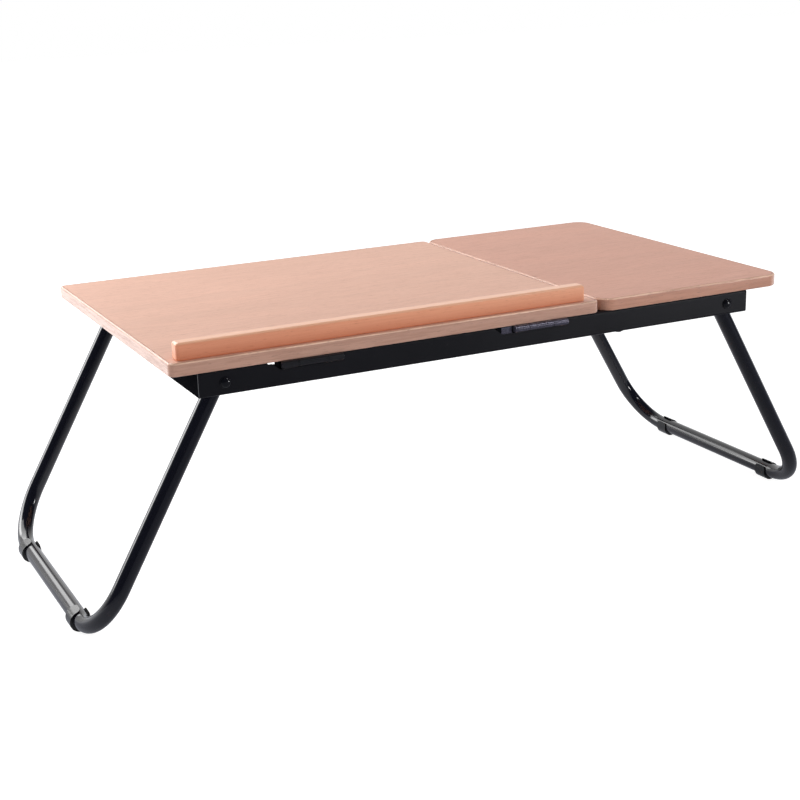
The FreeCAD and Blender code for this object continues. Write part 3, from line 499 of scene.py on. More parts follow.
# A darker, matt copy of the frame coat: painted shade on the end rails and the hinge tabs.
SHADED_COAT = PowderCoat("shaded_frame_coat", "black_frame", srgb(15, 16, 19), 0.60, 0.0)
TUBE_COAT = PowderCoat("tube_coat", "black_tube", srgb(12, 12, 19), 0.12, 0.58, 0.03)
FOOT_PLASTIC = MouldedPlastic("clip_plastic", "foot_plastic", srgb(9, 11, 11), 0.20)
BLACK_PLASTIC = MouldedPlastic("matt_plastic", "black_plastic", srgb(22, 22, 24), 0.45, 0.2)
# One hinge steel in two copies: a darker one on the left hinge as painted shade, a lighter, more metallic
# one on the right hinge as painted light.
SHADED_HINGE = PlatedSteel("shaded_hinge_steel", "hinge_steel", srgb(34, 34, 37), 0.34, 0.3)
LIT_HINGE = PlatedSteel("lit_hinge_steel", "hinge_steel", srgb(104, 101, 114), 0.25, 0.75)
ZINC_STEEL = PlatedSteel("zinc_plate", "plain_steel", srgb(196, 196, 200), 0.30)
DARK_RIVET = PlatedSteel("blacked_rivet", "dark_rivet", srgb(9, 9, 11), 0.16, 0.0)


# Shaping


class Blank:
    """A piece being shaped: one bmesh and the operators used on it."""

    def __init__(self) -> None:
        """Start with nothing."""
        self.bm = bmesh.new()

    def plate(self, low: Vector, high: Vector) -> bmesh.types.BMFace:
        """Add a level rectangle at the height of the low corner.

        Args:
            low: One corner.
            high: The opposite corner.

        Returns:
            The face.
        """
        made = bmesh.ops.create_grid(self.bm, x_segments=1, y_segments=1, size=0.5)
        size = high - low
        centre = (low + high) / 2
        bmesh.ops.scale(self.bm, vec=(size.x, size.y, 1), verts=made["verts"])
        bmesh.ops.translate(self.bm, vec=(centre.x, centre.y, low.z), verts=made["verts"])
        return made["verts"][0].link_faces[0]

    def round_corners(self, face: bmesh.types.BMFace, radius: float, segments: int) -> bmesh.types.BMFace:
        """Round the corners of a lone flat face."""
        bmesh.ops.bevel(self.bm, geom=list(face.verts), offset=radius, offset_type="OFFSET",
                        segments=segments, profile=0.5, affect="VERTICES", material=-1,
                        clamp_overlap=True)
        return self.bm.faces[:][0]

    def raise_face(self, face: bmesh.types.BMFace, move: Vector) -> bmesh.types.BMFace:
        """Extrude a face along a vector and return the new end face."""
        made = bmesh.ops.extrude_face_region(self.bm, geom=[face])
        verts = [item for item in made["geom"] if isinstance(item, bmesh.types.BMVert)]
        bmesh.ops.translate(self.bm, vec=move, verts=verts)
        return next(item for item in made["geom"] if isinstance(item, bmesh.types.BMFace))

    def swing_face(self, face: bmesh.types.BMFace, centre: Vector, axis: Vector, angle: float,
                   steps: int) -> bmesh.types.BMFace:
        """Spin a face about an axis, leaving a solid behind it, and return the end face."""
        made = bmesh.ops.spin(self.bm, geom=[face], cent=centre, axis=axis, angle=angle, steps=steps,
                              dvec=(0, 0, 0), use_merge=False, use_duplicate=False)
        return next(item for item in made["geom_last"] if isinstance(item, bmesh.types.BMFace))

    def edges(self, test: Callable[[bmesh.types.BMEdge], bool]) -> list[bmesh.types.BMEdge]:
        """The edges that pass a test."""
        return [edge for edge in self.bm.edges if test(edge)]

    def sharp_edges(self, angle: float = math.radians(35)) -> list[bmesh.types.BMEdge]:
        """The edges where two faces meet at more than an angle."""
        return self.edges(lambda edge: len(edge.link_faces) == 2 and edge.calc_face_angle(0) > angle)

    def bevel(self, edges: Iterable[bmesh.types.BMEdge], width: float, segments: int) -> Blank:
        """Round edges off."""
        bmesh.ops.bevel(self.bm, geom=list(edges), offset=width, offset_type="OFFSET", segments=segments,
                        profile=0.5, affect="EDGES", material=-1, clamp_overlap=True,
                        loop_slide=True)
        return self

    def outward(self) -> Blank:
        """Merge doubles and point every face out."""
        bmesh.ops.remove_doubles(self.bm, verts=self.bm.verts, dist=1e-7)
        bmesh.ops.recalc_face_normals(self.bm, faces=self.bm.faces)
        return self

    def move(self, matrix: Matrix) -> Blank:
        """Move the whole piece."""
        bmesh.ops.transform(self.bm, matrix=matrix, verts=self.bm.verts)
        return self

    def mesh(self, name: str) -> bpy.types.Mesh:
        """Hand the shape over as a mesh; the blank is used up."""
        mesh = bpy.data.meshes.new(name)
        self.bm.to_mesh(mesh)
        self.bm.free()
        return mesh


def put(name: str, data: bpy.types.ID) -> bpy.types.Object:
    """Put a new object with this data in the scene."""
    made = bpy.data.objects.new(name, data)
    bpy.context.scene.collection.objects.link(made)
    return made


def level(height: float, margin: float = 0.001 * MM) -> Callable[[bmesh.types.BMEdge], bool]:
    """A test for edges that lie flat at a height."""
    return lambda edge: all(abs(vert.co.z - height) < margin for vert in edge.verts)


def upright(edge: bmesh.types.BMEdge) -> bool:
    """Whether an edge stands along Z."""
    run = edge.verts[1].co - edge.verts[0].co
    return abs(run.z) > 0.99 * run.length


@dataclass
class Workshop:
    """Where pieces are finished: they get a surface, a body to ride on and the nodes they stand for."""

    frame: dict[str, Any]
    made: list[str] = field(default_factory=list)
    weld: float = 0.002 * MM
    flat_under: float = math.radians(0.6)

    def keep(self, blank: Blank, name: str, node: str, finish: Finish, stands_for: bool = True,
             smooth_under: float = math.radians(38)) -> None:
        """Turn a blank into a finished piece.

        Args:
            blank: The shape.
            name: The piece's name.
            node: The CAD node whose body it rides on.
            finish: Its surface.
            stands_for: Whether it replaces that node.
            smooth_under: Edges flatter than this angle are shaded smooth.
        """
        for face in blank.bm.faces:
            face.smooth = True
        for edge in blank.bm.edges:
            edge.smooth = len(edge.link_faces) == 2 and edge.calc_face_angle(0) < smooth_under
        mesh = blank.mesh(name)
        piece = put(name, mesh)
        mesh.materials.append(finish.material())
        weighted = piece.modifiers.new("even_normals", "WEIGHTED_NORMAL")
        weighted.keep_sharp = True
        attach(piece, self.frame["nodes"][node]["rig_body"])
        if stands_for:
            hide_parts(node)
        self.made.append(name)
        LOG.info("%s: %d faces, on %s", name, len(mesh.polygons), node)

    def copy_of(self, node: str) -> Blank:
        """A CAD node's shape as a clean solid to work on."""
        blank = Blank()
        blank.bm.from_mesh(self.frame["nodes"][node].data)
        bmesh.ops.remove_doubles(blank.bm, verts=blank.bm.verts, dist=self.weld)
        bmesh.ops.dissolve_limit(blank.bm, angle_limit=self.flat_under, verts=blank.bm.verts,
                                 edges=blank.bm.edges, delimit={"NORMAL"})
        return blank

    def soften(self, node: str, finish: Finish, width: float, segments: int) -> None:
        """Stand in for a CAD node with the same solid, its sharp edges rounded off.

        Args:
            node: The CAD node.
            finish: Its surface.
            width: How far each sharp edge is rounded.
            segments: Faces across each rounding.
        """
        blank = self.copy_of(node)
        blank.bevel(blank.sharp_edges(), width, segments)
        self.keep(blank, f"{node}_piece", node, finish)


# The boards


@dataclass
class Board:
    """A wood-fibre board under printed foil, with a soft plastic band round its edge."""

    shop: Workshop
    side: str
    foil: Finish
    band: Finish
    corner: float
    band_width: float = 2 * MM
    round_above: float = 1.75 * MM
    round_below: float = 1.1 * MM
    joint_gap: float = 0.45 * MM
    foil_round: float = 0.4 * MM
    corner_steps: int = 18
    above_steps: int = 6
    below_steps: int = 4
    foil_steps: int = 2

    def build(self) -> None:
        """Make the core and its band."""
        self.build_band()
        self.build_core()

    def build_band(self) -> None:
        """The band: a rounded rim, hollowed for the core."""
        node = f"{self.side}_board_edge_band"
        low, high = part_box(node)
        blank = Blank()
        face = blank.round_corners(blank.plate(low, high), self.corner, self.corner_steps)
        blank.raise_face(face, Vector((0, 0, high.z - low.z)))
        blank.outward()
        blank.bevel(blank.edges(level(high.z)), self.round_above, self.above_steps)
        blank.bevel(blank.edges(level(low.z)), self.round_below, self.below_steps)
        lids = [face for face in blank.bm.faces if abs(face.normal.z) > 0.999]
        lid_width = {True: self.band_width - self.round_above, False: self.band_width - self.round_below}
        rims = []
        for lid in lids:
            bmesh.ops.inset_region(blank.bm, faces=[lid], thickness=lid_width[lid.normal.z > 0],
                                   depth=0.0, use_even_offset=True, use_boundary=True)
            rims.extend(lid.edges)
            blank.bm.faces.remove(lid)
        bmesh.ops.bridge_loops(blank.bm, edges=rims)
        blank.outward()
        self.shop.keep(blank, f"{self.side}_edge_band_piece", node, self.band)

    def build_core(self) -> None:
        """The core with its foil, a hair smaller than the band's opening."""
        node = f"{self.side}_board_panel"
        low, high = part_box(node)
        inset = Vector((self.joint_gap, self.joint_gap, 0))
        blank = Blank()
        corner = self.corner - self.band_width - self.joint_gap
        face = blank.round_corners(blank.plate(low + inset, high - inset), corner, self.corner_steps)
        blank.raise_face(face, Vector((0, 0, high.z - low.z)))
        blank.outward()
        rims = blank.edges(lambda edge: level(high.z)(edge) or level(low.z)(edge))
        blank.bevel(rims, self.foil_round, self.foil_steps)
        self.shop.keep(blank, f"{self.side}_board_piece", node, self.foil)


@dataclass
class Ledge:
    """The wooden bar along the front of the tilting board, rounded on every free edge."""

    shop: Workshop
    corner: float = 3.6 * MM
    round_above: float = 2.8 * MM
    round_below: float = 1.0 * MM
    corner_steps: int = 7
    above_steps: int = 6
    below_steps: int = 3

    def build(self) -> None:
        """Make the bar, and tell its finish where it starts and stops."""
        low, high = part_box("book_ledge")
        blank = Blank()
        face = blank.plate(low, high)
        blank.raise_face(face, Vector((0, 0, high.z - low.z)))
        blank.outward()
        blank.bevel(blank.edges(upright), self.corner, self.corner_steps)
        blank.bevel(blank.edges(level(high.z)), self.round_above, self.above_steps)
        blank.bevel(blank.edges(level(low.z)), self.round_below, self.below_steps)
        finish = replace(LEDGE_WOOD, low=tuple(low), high=tuple(high))
        self.shop.keep(blank, "ledge_piece", "book_ledge", finish)


# The legs


@dataclass(frozen=True)
class FootClip:
    """A plastic clip round the foot run: thick where it stands, with two tongues that flare at its mouth."""

    inner: float = 7.25 * MM
    outer: float = 9.1 * MM
    offset: float = 1.2 * MM
    width: float = 15 * MM
    bend_gap: float = 0.5 * MM
    mouth: float = math.radians(38)
    tip: float = math.radians(26)
    tip_radius: float = 9.5 * MM
    tip_wall: float = 0.35 * MM
    shoulder: float = math.radians(50)
    tongue_round: float = 4.4 * MM
    round_columns: int = 26
    tongue_columns: int = 9
    rows: int = 10
    edge_round: float = 0.12 * MM
    sharp_over: float = math.radians(50)

    def side(self, steps: float) -> tuple[Vector, Vector]:
        """Where the inner and outer skins are, some columns away from the bottom.

        Args:
            steps: Columns from the bottom; the last ones are the tongue.

        Returns:
            A point of the inner skin and one of the outer skin, across the tube.
        """
        share = min(1.0, steps / self.round_columns)
        inner_angle = math.pi + (self.mouth - math.pi) * share
        outer_angle = math.pi + (self.shoulder - math.pi) * share
        inner = self.inner * Vector((math.sin(inner_angle), 0, math.cos(inner_angle)))
        outer = self.outer * Vector((math.sin(outer_angle), 0, math.cos(outer_angle)))
        outer.z -= self.offset
        reach = max(0.0, (steps - self.round_columns) / self.tongue_columns)
        end = Vector((math.sin(self.tip), 0, math.cos(self.tip)))
        inner = inner.lerp(end * (self.tip_radius - self.tip_wall), reach)
        return inner, outer.lerp(end * self.tip_radius, reach)

    def narrowed(self, steps: float) -> float:
        """Half the clip's width some columns from the bottom; the tongues end round."""
        last = self.round_columns + self.tongue_columns
        left = (self.side(last)[1] - self.side(steps)[1]).length
        if steps < self.round_columns * 0.5 or left >= self.tongue_round:
            return self.width / 2
        lost = self.tongue_round - math.sqrt(self.tongue_round ** 2 - (self.tongue_round - left) ** 2)
        return self.width / 2 - lost

    def blank(self) -> Blank:
        """Wrap a flat plate round the tube, from its near side at the origin."""
        columns = self.round_columns + self.tongue_columns
        blank = Blank()
        bmesh.ops.create_grid(blank.bm, x_segments=2 * columns, y_segments=self.rows, size=1)
        made = bmesh.ops.extrude_face_region(blank.bm, geom=blank.bm.faces[:])
        raised = [item for item in made["geom"] if isinstance(item, bmesh.types.BMVert)]
        bmesh.ops.translate(blank.bm, vec=(0, 0, 1), verts=raised)
        for vert in blank.bm.verts:
            steps = abs(vert.co.x) * columns
            point = self.side(steps)[1 if vert.co.z > 0.5 else 0]
            across = vert.co.y * self.narrowed(steps)
            vert.co = (math.copysign(point.x, vert.co.x), across + self.width / 2, point.z)
        blank.outward()
        return blank.bevel(blank.sharp_edges(self.sharp_over), self.edge_round, 2)


FOOT = FootClip()


@dataclass
class Leg:
    """One folding leg: a tube bent into a U, plugged at its ends and shod with two clips."""

    shop: Workshop
    side: str
    radius: float = 7.25 * MM
    bend: float = 48 * MM
    past_pivot: float = 6 * MM
    plug_cap: float = 1.0 * MM
    tube_sides: int = 56
    bend_steps: int = 28
    plug_sides: int = 40
    plug_steps: int = 4

    def __post_init__(self) -> None:
        """Read the pivot, the lean and the arms' places from the frame."""
        joint = next(j for j in self.shop.frame["joints"] if j["name"] == f"{self.side}_leg_fold")
        self.way = -1 if self.side == "left" else 1
        self.lean = math.radians(joint["range_deg"][1] - 90)
        low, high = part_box(f"{self.side}_leg_tube")
        self.spread = high.y - low.y - 2 * self.radius
        self.pivot = Vector((joint["pos_m"][0], low.y + self.radius, joint["pos_m"][2]))
        self.length = (self.pivot.z - FOOT.outer) / math.cos(self.lean) - FOOT.offset

    @property
    def stand(self) -> Matrix:
        """From the leg's own frame, with its pivot at the origin and its foot down, to the table's."""
        return Matrix.Translation(self.pivot) @ Matrix.Rotation(-self.way * self.lean, 4, "Y")

    def build(self) -> None:
        """Make the tube, its plugs and its feet."""
        self.build_tube()
        self.build_plugs()
        start = self.bend + FOOT.bend_gap
        self.build_foot("front", start)
        self.build_foot("rear", self.spread - start - FOOT.width)

    def build_tube(self) -> None:
        """Draw the tube's round section down one arm, round both bends and up the other arm."""
        blank = Blank()
        made = bmesh.ops.create_circle(blank.bm, cap_ends=True, radius=self.radius,
                                       segments=self.tube_sides)
        bmesh.ops.translate(blank.bm, vec=(0, 0, self.past_pivot), verts=made["verts"])
        face = blank.bm.faces[:][0]
        down = self.length - self.bend
        face = blank.raise_face(face, Vector((0, 0, -down - self.past_pivot)))
        axis, turn = Vector((1, 0, 0)), math.pi / 2
        face = blank.swing_face(face, Vector((0, self.bend, -down)), axis, turn, self.bend_steps)
        face = blank.raise_face(face, Vector((0, self.spread - 2 * self.bend, 0)))
        centre = Vector((0, self.spread - self.bend, -down))
        face = blank.swing_face(face, centre, axis, turn, self.bend_steps)
        blank.raise_face(face, Vector((0, 0, down + self.past_pivot)))
        blank.outward().move(self.stand)
        self.shop.keep(blank, f"{self.side}_tube_piece", f"{self.side}_leg_tube", TUBE_COAT)

    def build_plugs(self) -> None:
        """Two turned plastic caps at the tube's ends."""
        blank = Blank()
        for y in (0.0, self.spread):
            made = bmesh.ops.create_circle(blank.bm, cap_ends=True, radius=self.radius,
                                           segments=self.plug_sides)
            bmesh.ops.translate(blank.bm, vec=(0, y, self.past_pivot), verts=made["verts"])
            face = made["verts"][0].link_faces[0]
            face = blank.raise_face(face, Vector((0, 0, self.plug_cap)))
            blank.bevel(list(face.edges), self.plug_cap * 0.6, self.plug_steps)
        blank.outward().move(self.stand)
        node = f"{self.side}_leg_end_plugs"
        self.shop.keep(blank, f"{self.side}_plugs_piece", node, BLACK_PLASTIC)

    def build_foot(self, end: str, start: float) -> None:
        """One clip on the foot run.

        Args:
            end: Which end of the leg it is on.
            start: Its near side along the leg.
        """
        blank = FOOT.blank()
        blank.move(self.stand @ Matrix.Translation((0, start, -self.length)))
        name = f"{self.side}_{end}_foot"
        self.shop.keep(blank, f"{name}_piece", name, FOOT_PLASTIC)


# Fasteners and pressed parts


@dataclass
class PivotRivets:
    """The four leg rivets: a low dome on a thin rim outside, a flattened tail inside."""

    shop: Workshop
    head: float = 5.1 * MM
    rim: float = 0.6 * MM
    dome: float = 4.5 * MM
    height: float = 2.8 * MM
    shank: float = 2.5 * MM
    tail: float = 4.1 * MM
    tail_height: float = 1.8 * MM
    tube_width: float = 14.5 * MM
    play: float = 0.1 * MM
    rim_cut: float = 0.2 * MM
    dome_steps: int = 8
    sides: int = 40

    def build(self) -> None:
        """Turn each rivet about its own axis."""
        joints = [j for j in self.shop.frame["joints"] if j["name"].endswith("leg_fold")]
        rail, back, tube = (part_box(node) for node in ("front_rail", "rear_rail", "left_leg_tube"))
        through = tube[0].y + self.tube_width + self.play - rail[0].y
        blank = Blank()
        for joint in joints:
            x, _, z = joint["pos_m"]
            for y, way in ((rail[0].y, 1), (back[1].y, -1)):
                turned = self.turn(through)
                turned.move(Matrix.Translation((x, y, z)) @ Matrix.Rotation(-way * math.pi / 2, 4, "X"))
                mesh = turned.mesh("rivet")
                blank.bm.from_mesh(mesh)
                bpy.data.meshes.remove(mesh)
        self.shop.keep(blank, "pivot_rivets_piece", "leg_pivot_rivets", DARK_RIVET)

    def turn(self, through: float) -> Blank:
        """One rivet standing on its head's seat, with its tail towards +Z."""
        blank = Blank()
        outline = [(0.0, -self.height)]
        for step in range(1, self.dome_steps + 1):
            angle = step / self.dome_steps * math.pi / 2
            rise = (self.height - self.rim) * math.cos(angle)
            outline.append((self.dome * math.sin(angle), -self.rim - rise))
        outline += [
            (self.head - self.rim_cut, -self.rim), (self.head, -self.rim + self.rim_cut),
            (self.head, 0.0), (self.shank, 0.0), (self.shank, through), (self.tail, through),
            (self.tail, through + self.tail_height * 0.5),
            (self.tail * 0.75, through + self.tail_height * 0.9), (0.0, through + self.tail_height),
        ]
        verts = [blank.bm.verts.new((x, 0, z)) for x, z in outline]
        edges = [blank.bm.edges.new(pair) for pair in zip(verts, verts[1:])]
        bmesh.ops.spin(blank.bm, geom=verts + edges, cent=(0, 0, 0), axis=(0, 0, 1), angle=2 * math.pi,
                       steps=self.sides, dvec=(0, 0, 0), use_merge=True, use_duplicate=False)
        return blank.outward()


@dataclass
class PressedParts:
    """Sheet, moulded and turned parts whose CAD solids only need their edges rounded off."""

    shop: Workshop
    # Nodes, their finish, how far their edges are rounded and the faces across each rounding
    jobs: tuple[tuple[tuple[str, ...], Finish, float, int], ...] = (
        (("front_rail", "rear_rail"), FRAME_COAT, 0.25 * MM, 2),
        (("left_end_rail", "right_end_rail"), SHADED_COAT, 0.3 * MM, 2),
        (("cross_member",), FRAME_COAT, 0.25 * MM, 2),
        (("cross_member_brackets", "left_rack_bar", "right_rack_bar"), FRAME_COAT, 0.2 * MM, 2),
        (("left_rack_block", "right_rack_block"), BLACK_PLASTIC, 0.35 * MM, 2),
        (("left_prop_clip", "right_prop_clip"), BLACK_PLASTIC, 0.35 * MM, 2),
        (("leg_pivot_spacers",), BLACK_PLASTIC, 0.3 * MM, 2),
        (("left_hinge_frame_leaf",), SHADED_HINGE, 0.35 * MM, 2),
        (("right_hinge_frame_leaf",), LIT_HINGE, 0.35 * MM, 2),
        (("left_hinge_board_leaf",), SHADED_HINGE, 0.35 * MM, 2),
        (("right_hinge_board_leaf",), LIT_HINGE, 0.35 * MM, 2),
        (("left_hinge_pin", "right_hinge_pin"), ZINC_STEEL, 0.1 * MM, 2),
        (("hinge_screws",), ZINC_STEEL, 0.08 * MM, 1),
        (("ledge_screws",), ZINC_STEEL, 0.1 * MM, 1),
        (("right_board_screws",), ZINC_STEEL, 0.12 * MM, 2),
        (("prop_clip_screws",), ZINC_STEEL, 0.1 * MM, 2),
        (("rack_screws",), ZINC_STEEL, 0.08 * MM, 1),
        (("bracket_screws",), DARK_RIVET, 0.15 * MM, 2),
        (("rack_bar_rivets",), DARK_RIVET, 0.1 * MM, 2),
    )

    def build(self) -> None:
        """Soften each part in turn."""
        for nodes, finish, width, segments in self.jobs:
            for node in nodes:
                self.shop.soften(node, finish, width, segments)


@dataclass
class HingeTabs:
    """The ends of the frame leaves that show beside the knuckles, through the rail's notches."""

    shop: Workshop
    thick: float = 1.2 * MM
    low: float = 9.6 * MM
    top: float = 0.15 * MM
    seat: float = 2.5 * MM
    play: float = 0.05 * MM
    knuckle_gap: float = 0.9 * MM
    lap: float = 3 * MM
    edge_round: float = 0.2 * MM
    # Side, how far the tab and the far plate reach, and how far below the rail's top the far plate ends
    ends: tuple[tuple[str, float, float, float], ...] = (
        ("left", 4.4 * MM, 7.6 * MM, 2.2 * MM), ("right", 16.2 * MM, 18 * MM, 0.2 * MM))

    def build(self) -> None:
        """Press one tab for each hinge, with a stiffening plate behind it."""
        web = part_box("front_rail")
        for side, reach, far, far_top in self.ends:
            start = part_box(f"{side}_hinge_board_leaf")[0].x
            blank = Blank()
            front = web[0].y + self.thick + self.play
            back = web[0].y + self.seat
            self.plate(blank, (start - reach, start - self.knuckle_gap), front, web[1].z, self.top)
            self.plate(blank, (start - reach, start + self.lap), back, web[1].z, self.top)
            self.plate(blank, (start - far, start - reach - self.play), back, web[1].z, far_top)
            blank.outward()
            blank.bevel(blank.sharp_edges(), self.edge_round, 2)
            self.shop.keep(blank, f"{side}_hinge_tab_piece", f"{side}_hinge_frame_leaf", SHADED_COAT,
                           stands_for=False)

    def plate(self, blank: Blank, ends: tuple[float, float], near: float, rim: float, below: float) -> None:
        """Add one upright plate.

        Args:
            blank: The piece it belongs to.
            ends: Where it starts and stops along X.
            near: Its front face.
            rim: The height of the rail's top.
            below: How far its own top is under that.
        """
        low = Vector((ends[0], near, rim - self.low))
        high = Vector((ends[1], near + self.thick - 2 * self.play, 0))
        face = blank.plate(low, high)
        blank.raise_face(face, Vector((0, 0, self.low - below)))


@dataclass
class Prop:
    """The wire prop: a rod bent square, with its feet turned out and their ends domed."""

    shop: Workshop
    radius: float = 2.5 * MM
    bend: float = 8 * MM
    foot_reach: float = 30.5 * MM
    sides: int = 32
    bend_steps: int = 10
    tip_steps: int = 4
    tip_over: float = math.radians(60)

    def build(self) -> None:
        """Draw the rod's section from one foot to the other."""
        low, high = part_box("prop_rod")
        centre_x, z = (low.x + high.x) / 2, (low.z + high.z) / 2
        near, far = low.y + self.radius, high.y - self.radius
        half_reach, bend = (high.x - low.x) / 2, self.bend
        half_arm = half_reach - self.foot_reach
        blank = Blank()
        made = bmesh.ops.create_circle(blank.bm, cap_ends=True, radius=self.radius, segments=self.sides)
        turn = Matrix.Translation((centre_x - half_reach, near, z)) @ Matrix.Rotation(math.pi / 2, 4, "Y")
        bmesh.ops.transform(blank.bm, matrix=turn, verts=made["verts"])
        face = blank.bm.faces[:][0]
        foot = Vector((half_reach - half_arm - bend, 0, 0))
        arm = Vector((0, far - near - 2 * bend, 0))
        bar = Vector((2 * (half_arm - bend), 0, 0))
        left, right = centre_x - half_arm, centre_x + half_arm
        for run, x, y, way in (
            (foot, left - bend, near + bend, 1), (arm, left + bend, far - bend, -1),
            (bar, right - bend, far - bend, -1), (-arm, right + bend, near + bend, 1),
        ):
            face = blank.raise_face(face, run)
            face = blank.swing_face(face, Vector((x, y, z)), Vector((0, 0, 1)), way * math.pi / 2,
                                    self.bend_steps)
        blank.raise_face(face, foot)
        blank.outward()
        blank.bevel(blank.sharp_edges(self.tip_over), self.radius * 0.45, self.tip_steps)
        self.shop.keep(blank, "prop_rod_piece", "prop_rod", ZINC_STEEL)


# The studio


@dataclass(frozen=True)
class Lamp:
    """A square soft lamp; it may light matt surfaces only, or show only as a reflection."""

    name: str
    place: Vector
    size: float
    power: float
    on_matt: bool = True
    in_gloss: bool = True

    def hang(self, target: Vector) -> None:
        """Hang the lamp, pointed at the target."""
        data = bpy.data.lights.new(self.name, "AREA")
        data.shape = "SQUARE"
        data.size = self.size
        data.energy = self.power
        lamp = put(self.name, data)
        turn = (self.place - target).to_track_quat("Z", "Y").to_matrix().to_4x4()
        lamp.matrix_world = Matrix.Translation(self.place) @ turn
        lamp.visible_diffuse = self.on_matt
        lamp.visible_glossy = self.in_gloss


LAMPS = (
    Lamp("rim", Vector((-1.80, 1.60, 0.95)), 1.2, 26),
    Lamp("top", Vector((-0.62, 1.00, 1.05)), 1.2, 15),
    Lamp("front", Vector((1.40, -1.70, 0.65)), 0.6, 16, in_gloss=False),
    Lamp("glint", Vector((1.40, -1.70, 0.22)), 0.3, 7, on_matt=False),
    Lamp("spark", Vector((1.60, -1.85, 2.20)), 0.35, 6),
    Lamp("side", Vector((-2.50, -0.20, 0.50)), 1.2, 12, in_gloss=False),
)


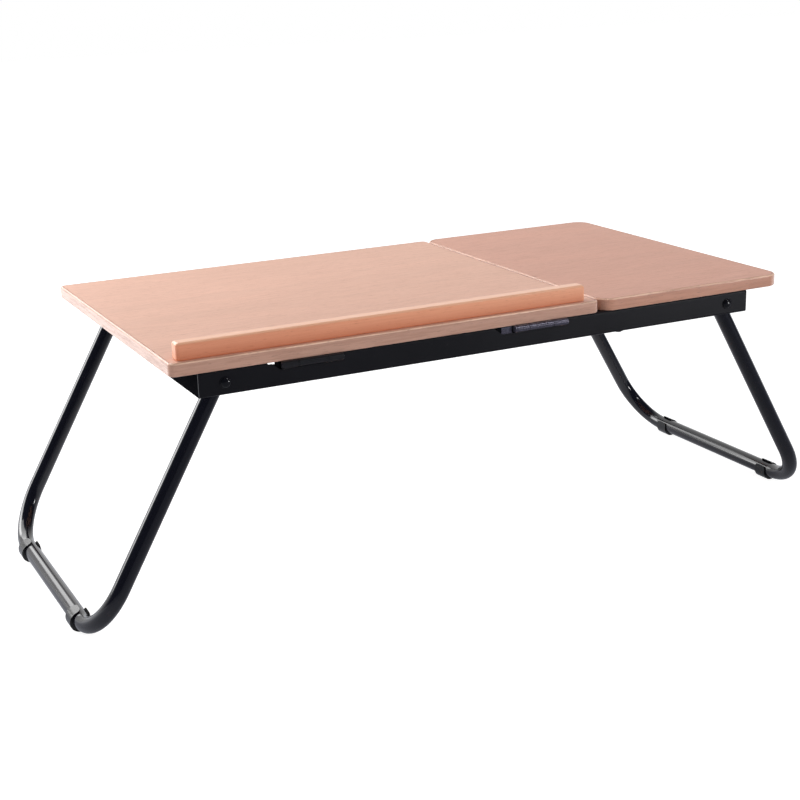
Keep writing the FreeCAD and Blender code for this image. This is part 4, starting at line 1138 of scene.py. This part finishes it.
@dataclass
class Studio:
    """A plain pale floor, soft lamps and the photograph's camera."""

    azimuth: float = math.radians(-26.04)
    elevation: float = math.radians(16.81)
    roll: float = math.radians(-1.68)
    lens: float = 68.03
    sensor: float = 36.0
    eye: Vector = field(default_factory=lambda: Vector((-0.62743, -1.26085, 0.54345)))
    target: Vector = field(default_factory=lambda: Vector((0, 0, 0.2)))
    floor_size: float = 14.0
    floor_glow: float = 0.86
    # Glow of the floor's painted reflection behind the table and in front of it.
    far_glow: float = 0.55
    near_glow: float = 0.05
    fill: float = 0.34
    room: Colour = (0.060, 0.068, 0.105)

    def build(self) -> None:
        """Set the stage."""
        self.build_camera()
        self.build_floor()
        self.build_world()
        for lamp in LAMPS:
            lamp.hang(self.target)
        bpy.context.scene.view_settings.view_transform = "Standard"

    def build_camera(self) -> None:
        """The photograph's viewpoint and lens."""
        back = Vector((
            math.sin(self.azimuth) * math.cos(self.elevation),
            -math.cos(self.azimuth) * math.cos(self.elevation),
            math.sin(self.elevation),
        ))
        right = Vector((0, 0, 1)).cross(back).normalized()
        up = back.cross(right)
        tilted_right = math.cos(self.roll) * right + math.sin(self.roll) * up
        tilted_up = math.cos(self.roll) * up - math.sin(self.roll) * right
        turn = Matrix((tilted_right, tilted_up, back)).transposed().to_4x4()
        data = bpy.data.cameras.new("photo_camera")
        data.sensor_fit = "HORIZONTAL"
        data.sensor_width = self.sensor
        data.lens = self.lens
        data.clip_end = 100
        camera = put("photo_camera", data)
        camera.matrix_world = Matrix.Translation(self.eye) @ turn
        bpy.context.scene.camera = camera

    @staticmethod
    def rays(graph: Graph, *kinds: str) -> Flow:
        """1 for the rays of these kinds, and 0 for light that falls on the table."""
        path = graph.node("ShaderNodeLightPath")
        found = [Flow(graph, path.outputs[f"Is {kind} Ray"]) for kind in kinds]
        total = found[0]
        for kind in found[1:]:
            total = graph.maths("MAXIMUM", total, kind)
        return total

    def build_floor(self) -> None:
        """A pale floor that keeps a faint shadow; in reflections it glows brighter behind the table and
        turns dim and bluish in front, a painted reflection for glossy parts.
        """
        blank = Blank()
        half = self.floor_size / 2
        blank.plate(Vector((-half, -half, 0)), Vector((half, half, 0)))
        mesh = blank.mesh("studio_floor")
        floor = put("studio_floor", mesh)
        made = bpy.data.materials.new("studio_floor")
        made.use_nodes = True
        graph = Graph(made.node_tree)
        # Painted reflection: seen in glossy parts, the floor glows brighter behind the table and dim and
        # bluish in front.
        behind = graph.where(1).over(edge=-0.02, soft=0.47)
        glossy = self.rays(graph, "Glossy")
        mirrored = glossy * (behind * self.far_glow + self.near_glow)
        strength = self.rays(graph, "Camera", "Transmission") * self.floor_glow + mirrored
        dimmed = graph.mix(glossy * (1 - behind), (0.45, 0.45, 0.45), (0.19, 0.20, 0.26))
        tinge = graph.mix(glossy, (1.0, 1.0, 1.0), (0.92, 0.96, 1.06))
        pale = graph.flow("ShaderNodeBsdfDiffuse", None, {"Color": (0.80, 0.80, 0.81)})
        soft = graph.flow("ShaderNodeBsdfDiffuse", None, {"Color": dimmed})
        white = graph.flow("ShaderNodeEmission", None, {"Color": tinge, "Strength": strength})
        bright = graph.flow("ShaderNodeAddShader", None, {0: soft, 1: white})
        seen = self.rays(graph, "Camera", "Glossy", "Transmission")
        shade = graph.flow("ShaderNodeMixShader", None, {0: seen, 1: pale, 2: bright})
        graph.node("ShaderNodeOutputMaterial", None, {"Surface": shade})
        mesh.materials.append(made)

    def build_world(self) -> None:
        """White where it is seen, a plain soft light on the table, and a dim room behind the camera."""
        world = bpy.data.worlds.new("studio")
        world.use_nodes = True
        graph = Graph(world.node_tree)
        way = graph.flow("ShaderNodeTexCoord", output="Generated")
        parts = graph.node("ShaderNodeSeparateXYZ", None, {0: way})
        backdrop = Flow(graph, parts.outputs[1]).over(edge=0.45, soft=0.30)
        dark = self.rays(graph, "Glossy") * (1 - backdrop)
        colour = graph.mix(dark, (1.0, 1.0, 1.0), self.room)
        white = graph.flow("ShaderNodeBackground", None, {"Color": colour, "Strength": 1.0})
        soft = graph.flow("ShaderNodeBackground", None, {"Color": (1.0, 1.0, 1.0), "Strength": self.fill})
        seen = self.rays(graph, "Camera", "Glossy", "Transmission")
        shade = graph.flow("ShaderNodeMixShader", None, {0: seen, 1: soft, 2: white})
        graph.node("ShaderNodeOutputWorld", None, {"Surface": shade})
        bpy.context.scene.world = world


def main() -> None:
    """Build every piece in order and report it."""
    logging.basicConfig(level=logging.INFO, format="%(name)s: %(message)s")
    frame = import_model()
    shop = Workshop(frame)
    Board(shop, "left", LEFT_FOIL, LEFT_BAND, 6 * MM).build()
    Board(shop, "right", RIGHT_FOIL, RIGHT_BAND, 15 * MM).build()
    Ledge(shop).build()
    for side in ("left", "right"):
        Leg(shop, side).build()
    PivotRivets(shop).build()
    PressedParts(shop).build()
    HingeTabs(shop).build()
    Prop(shop).build()
    Studio().build()
    LOG.info("%d pieces", len(shop.made))


if __name__ == "__main__":
    main()
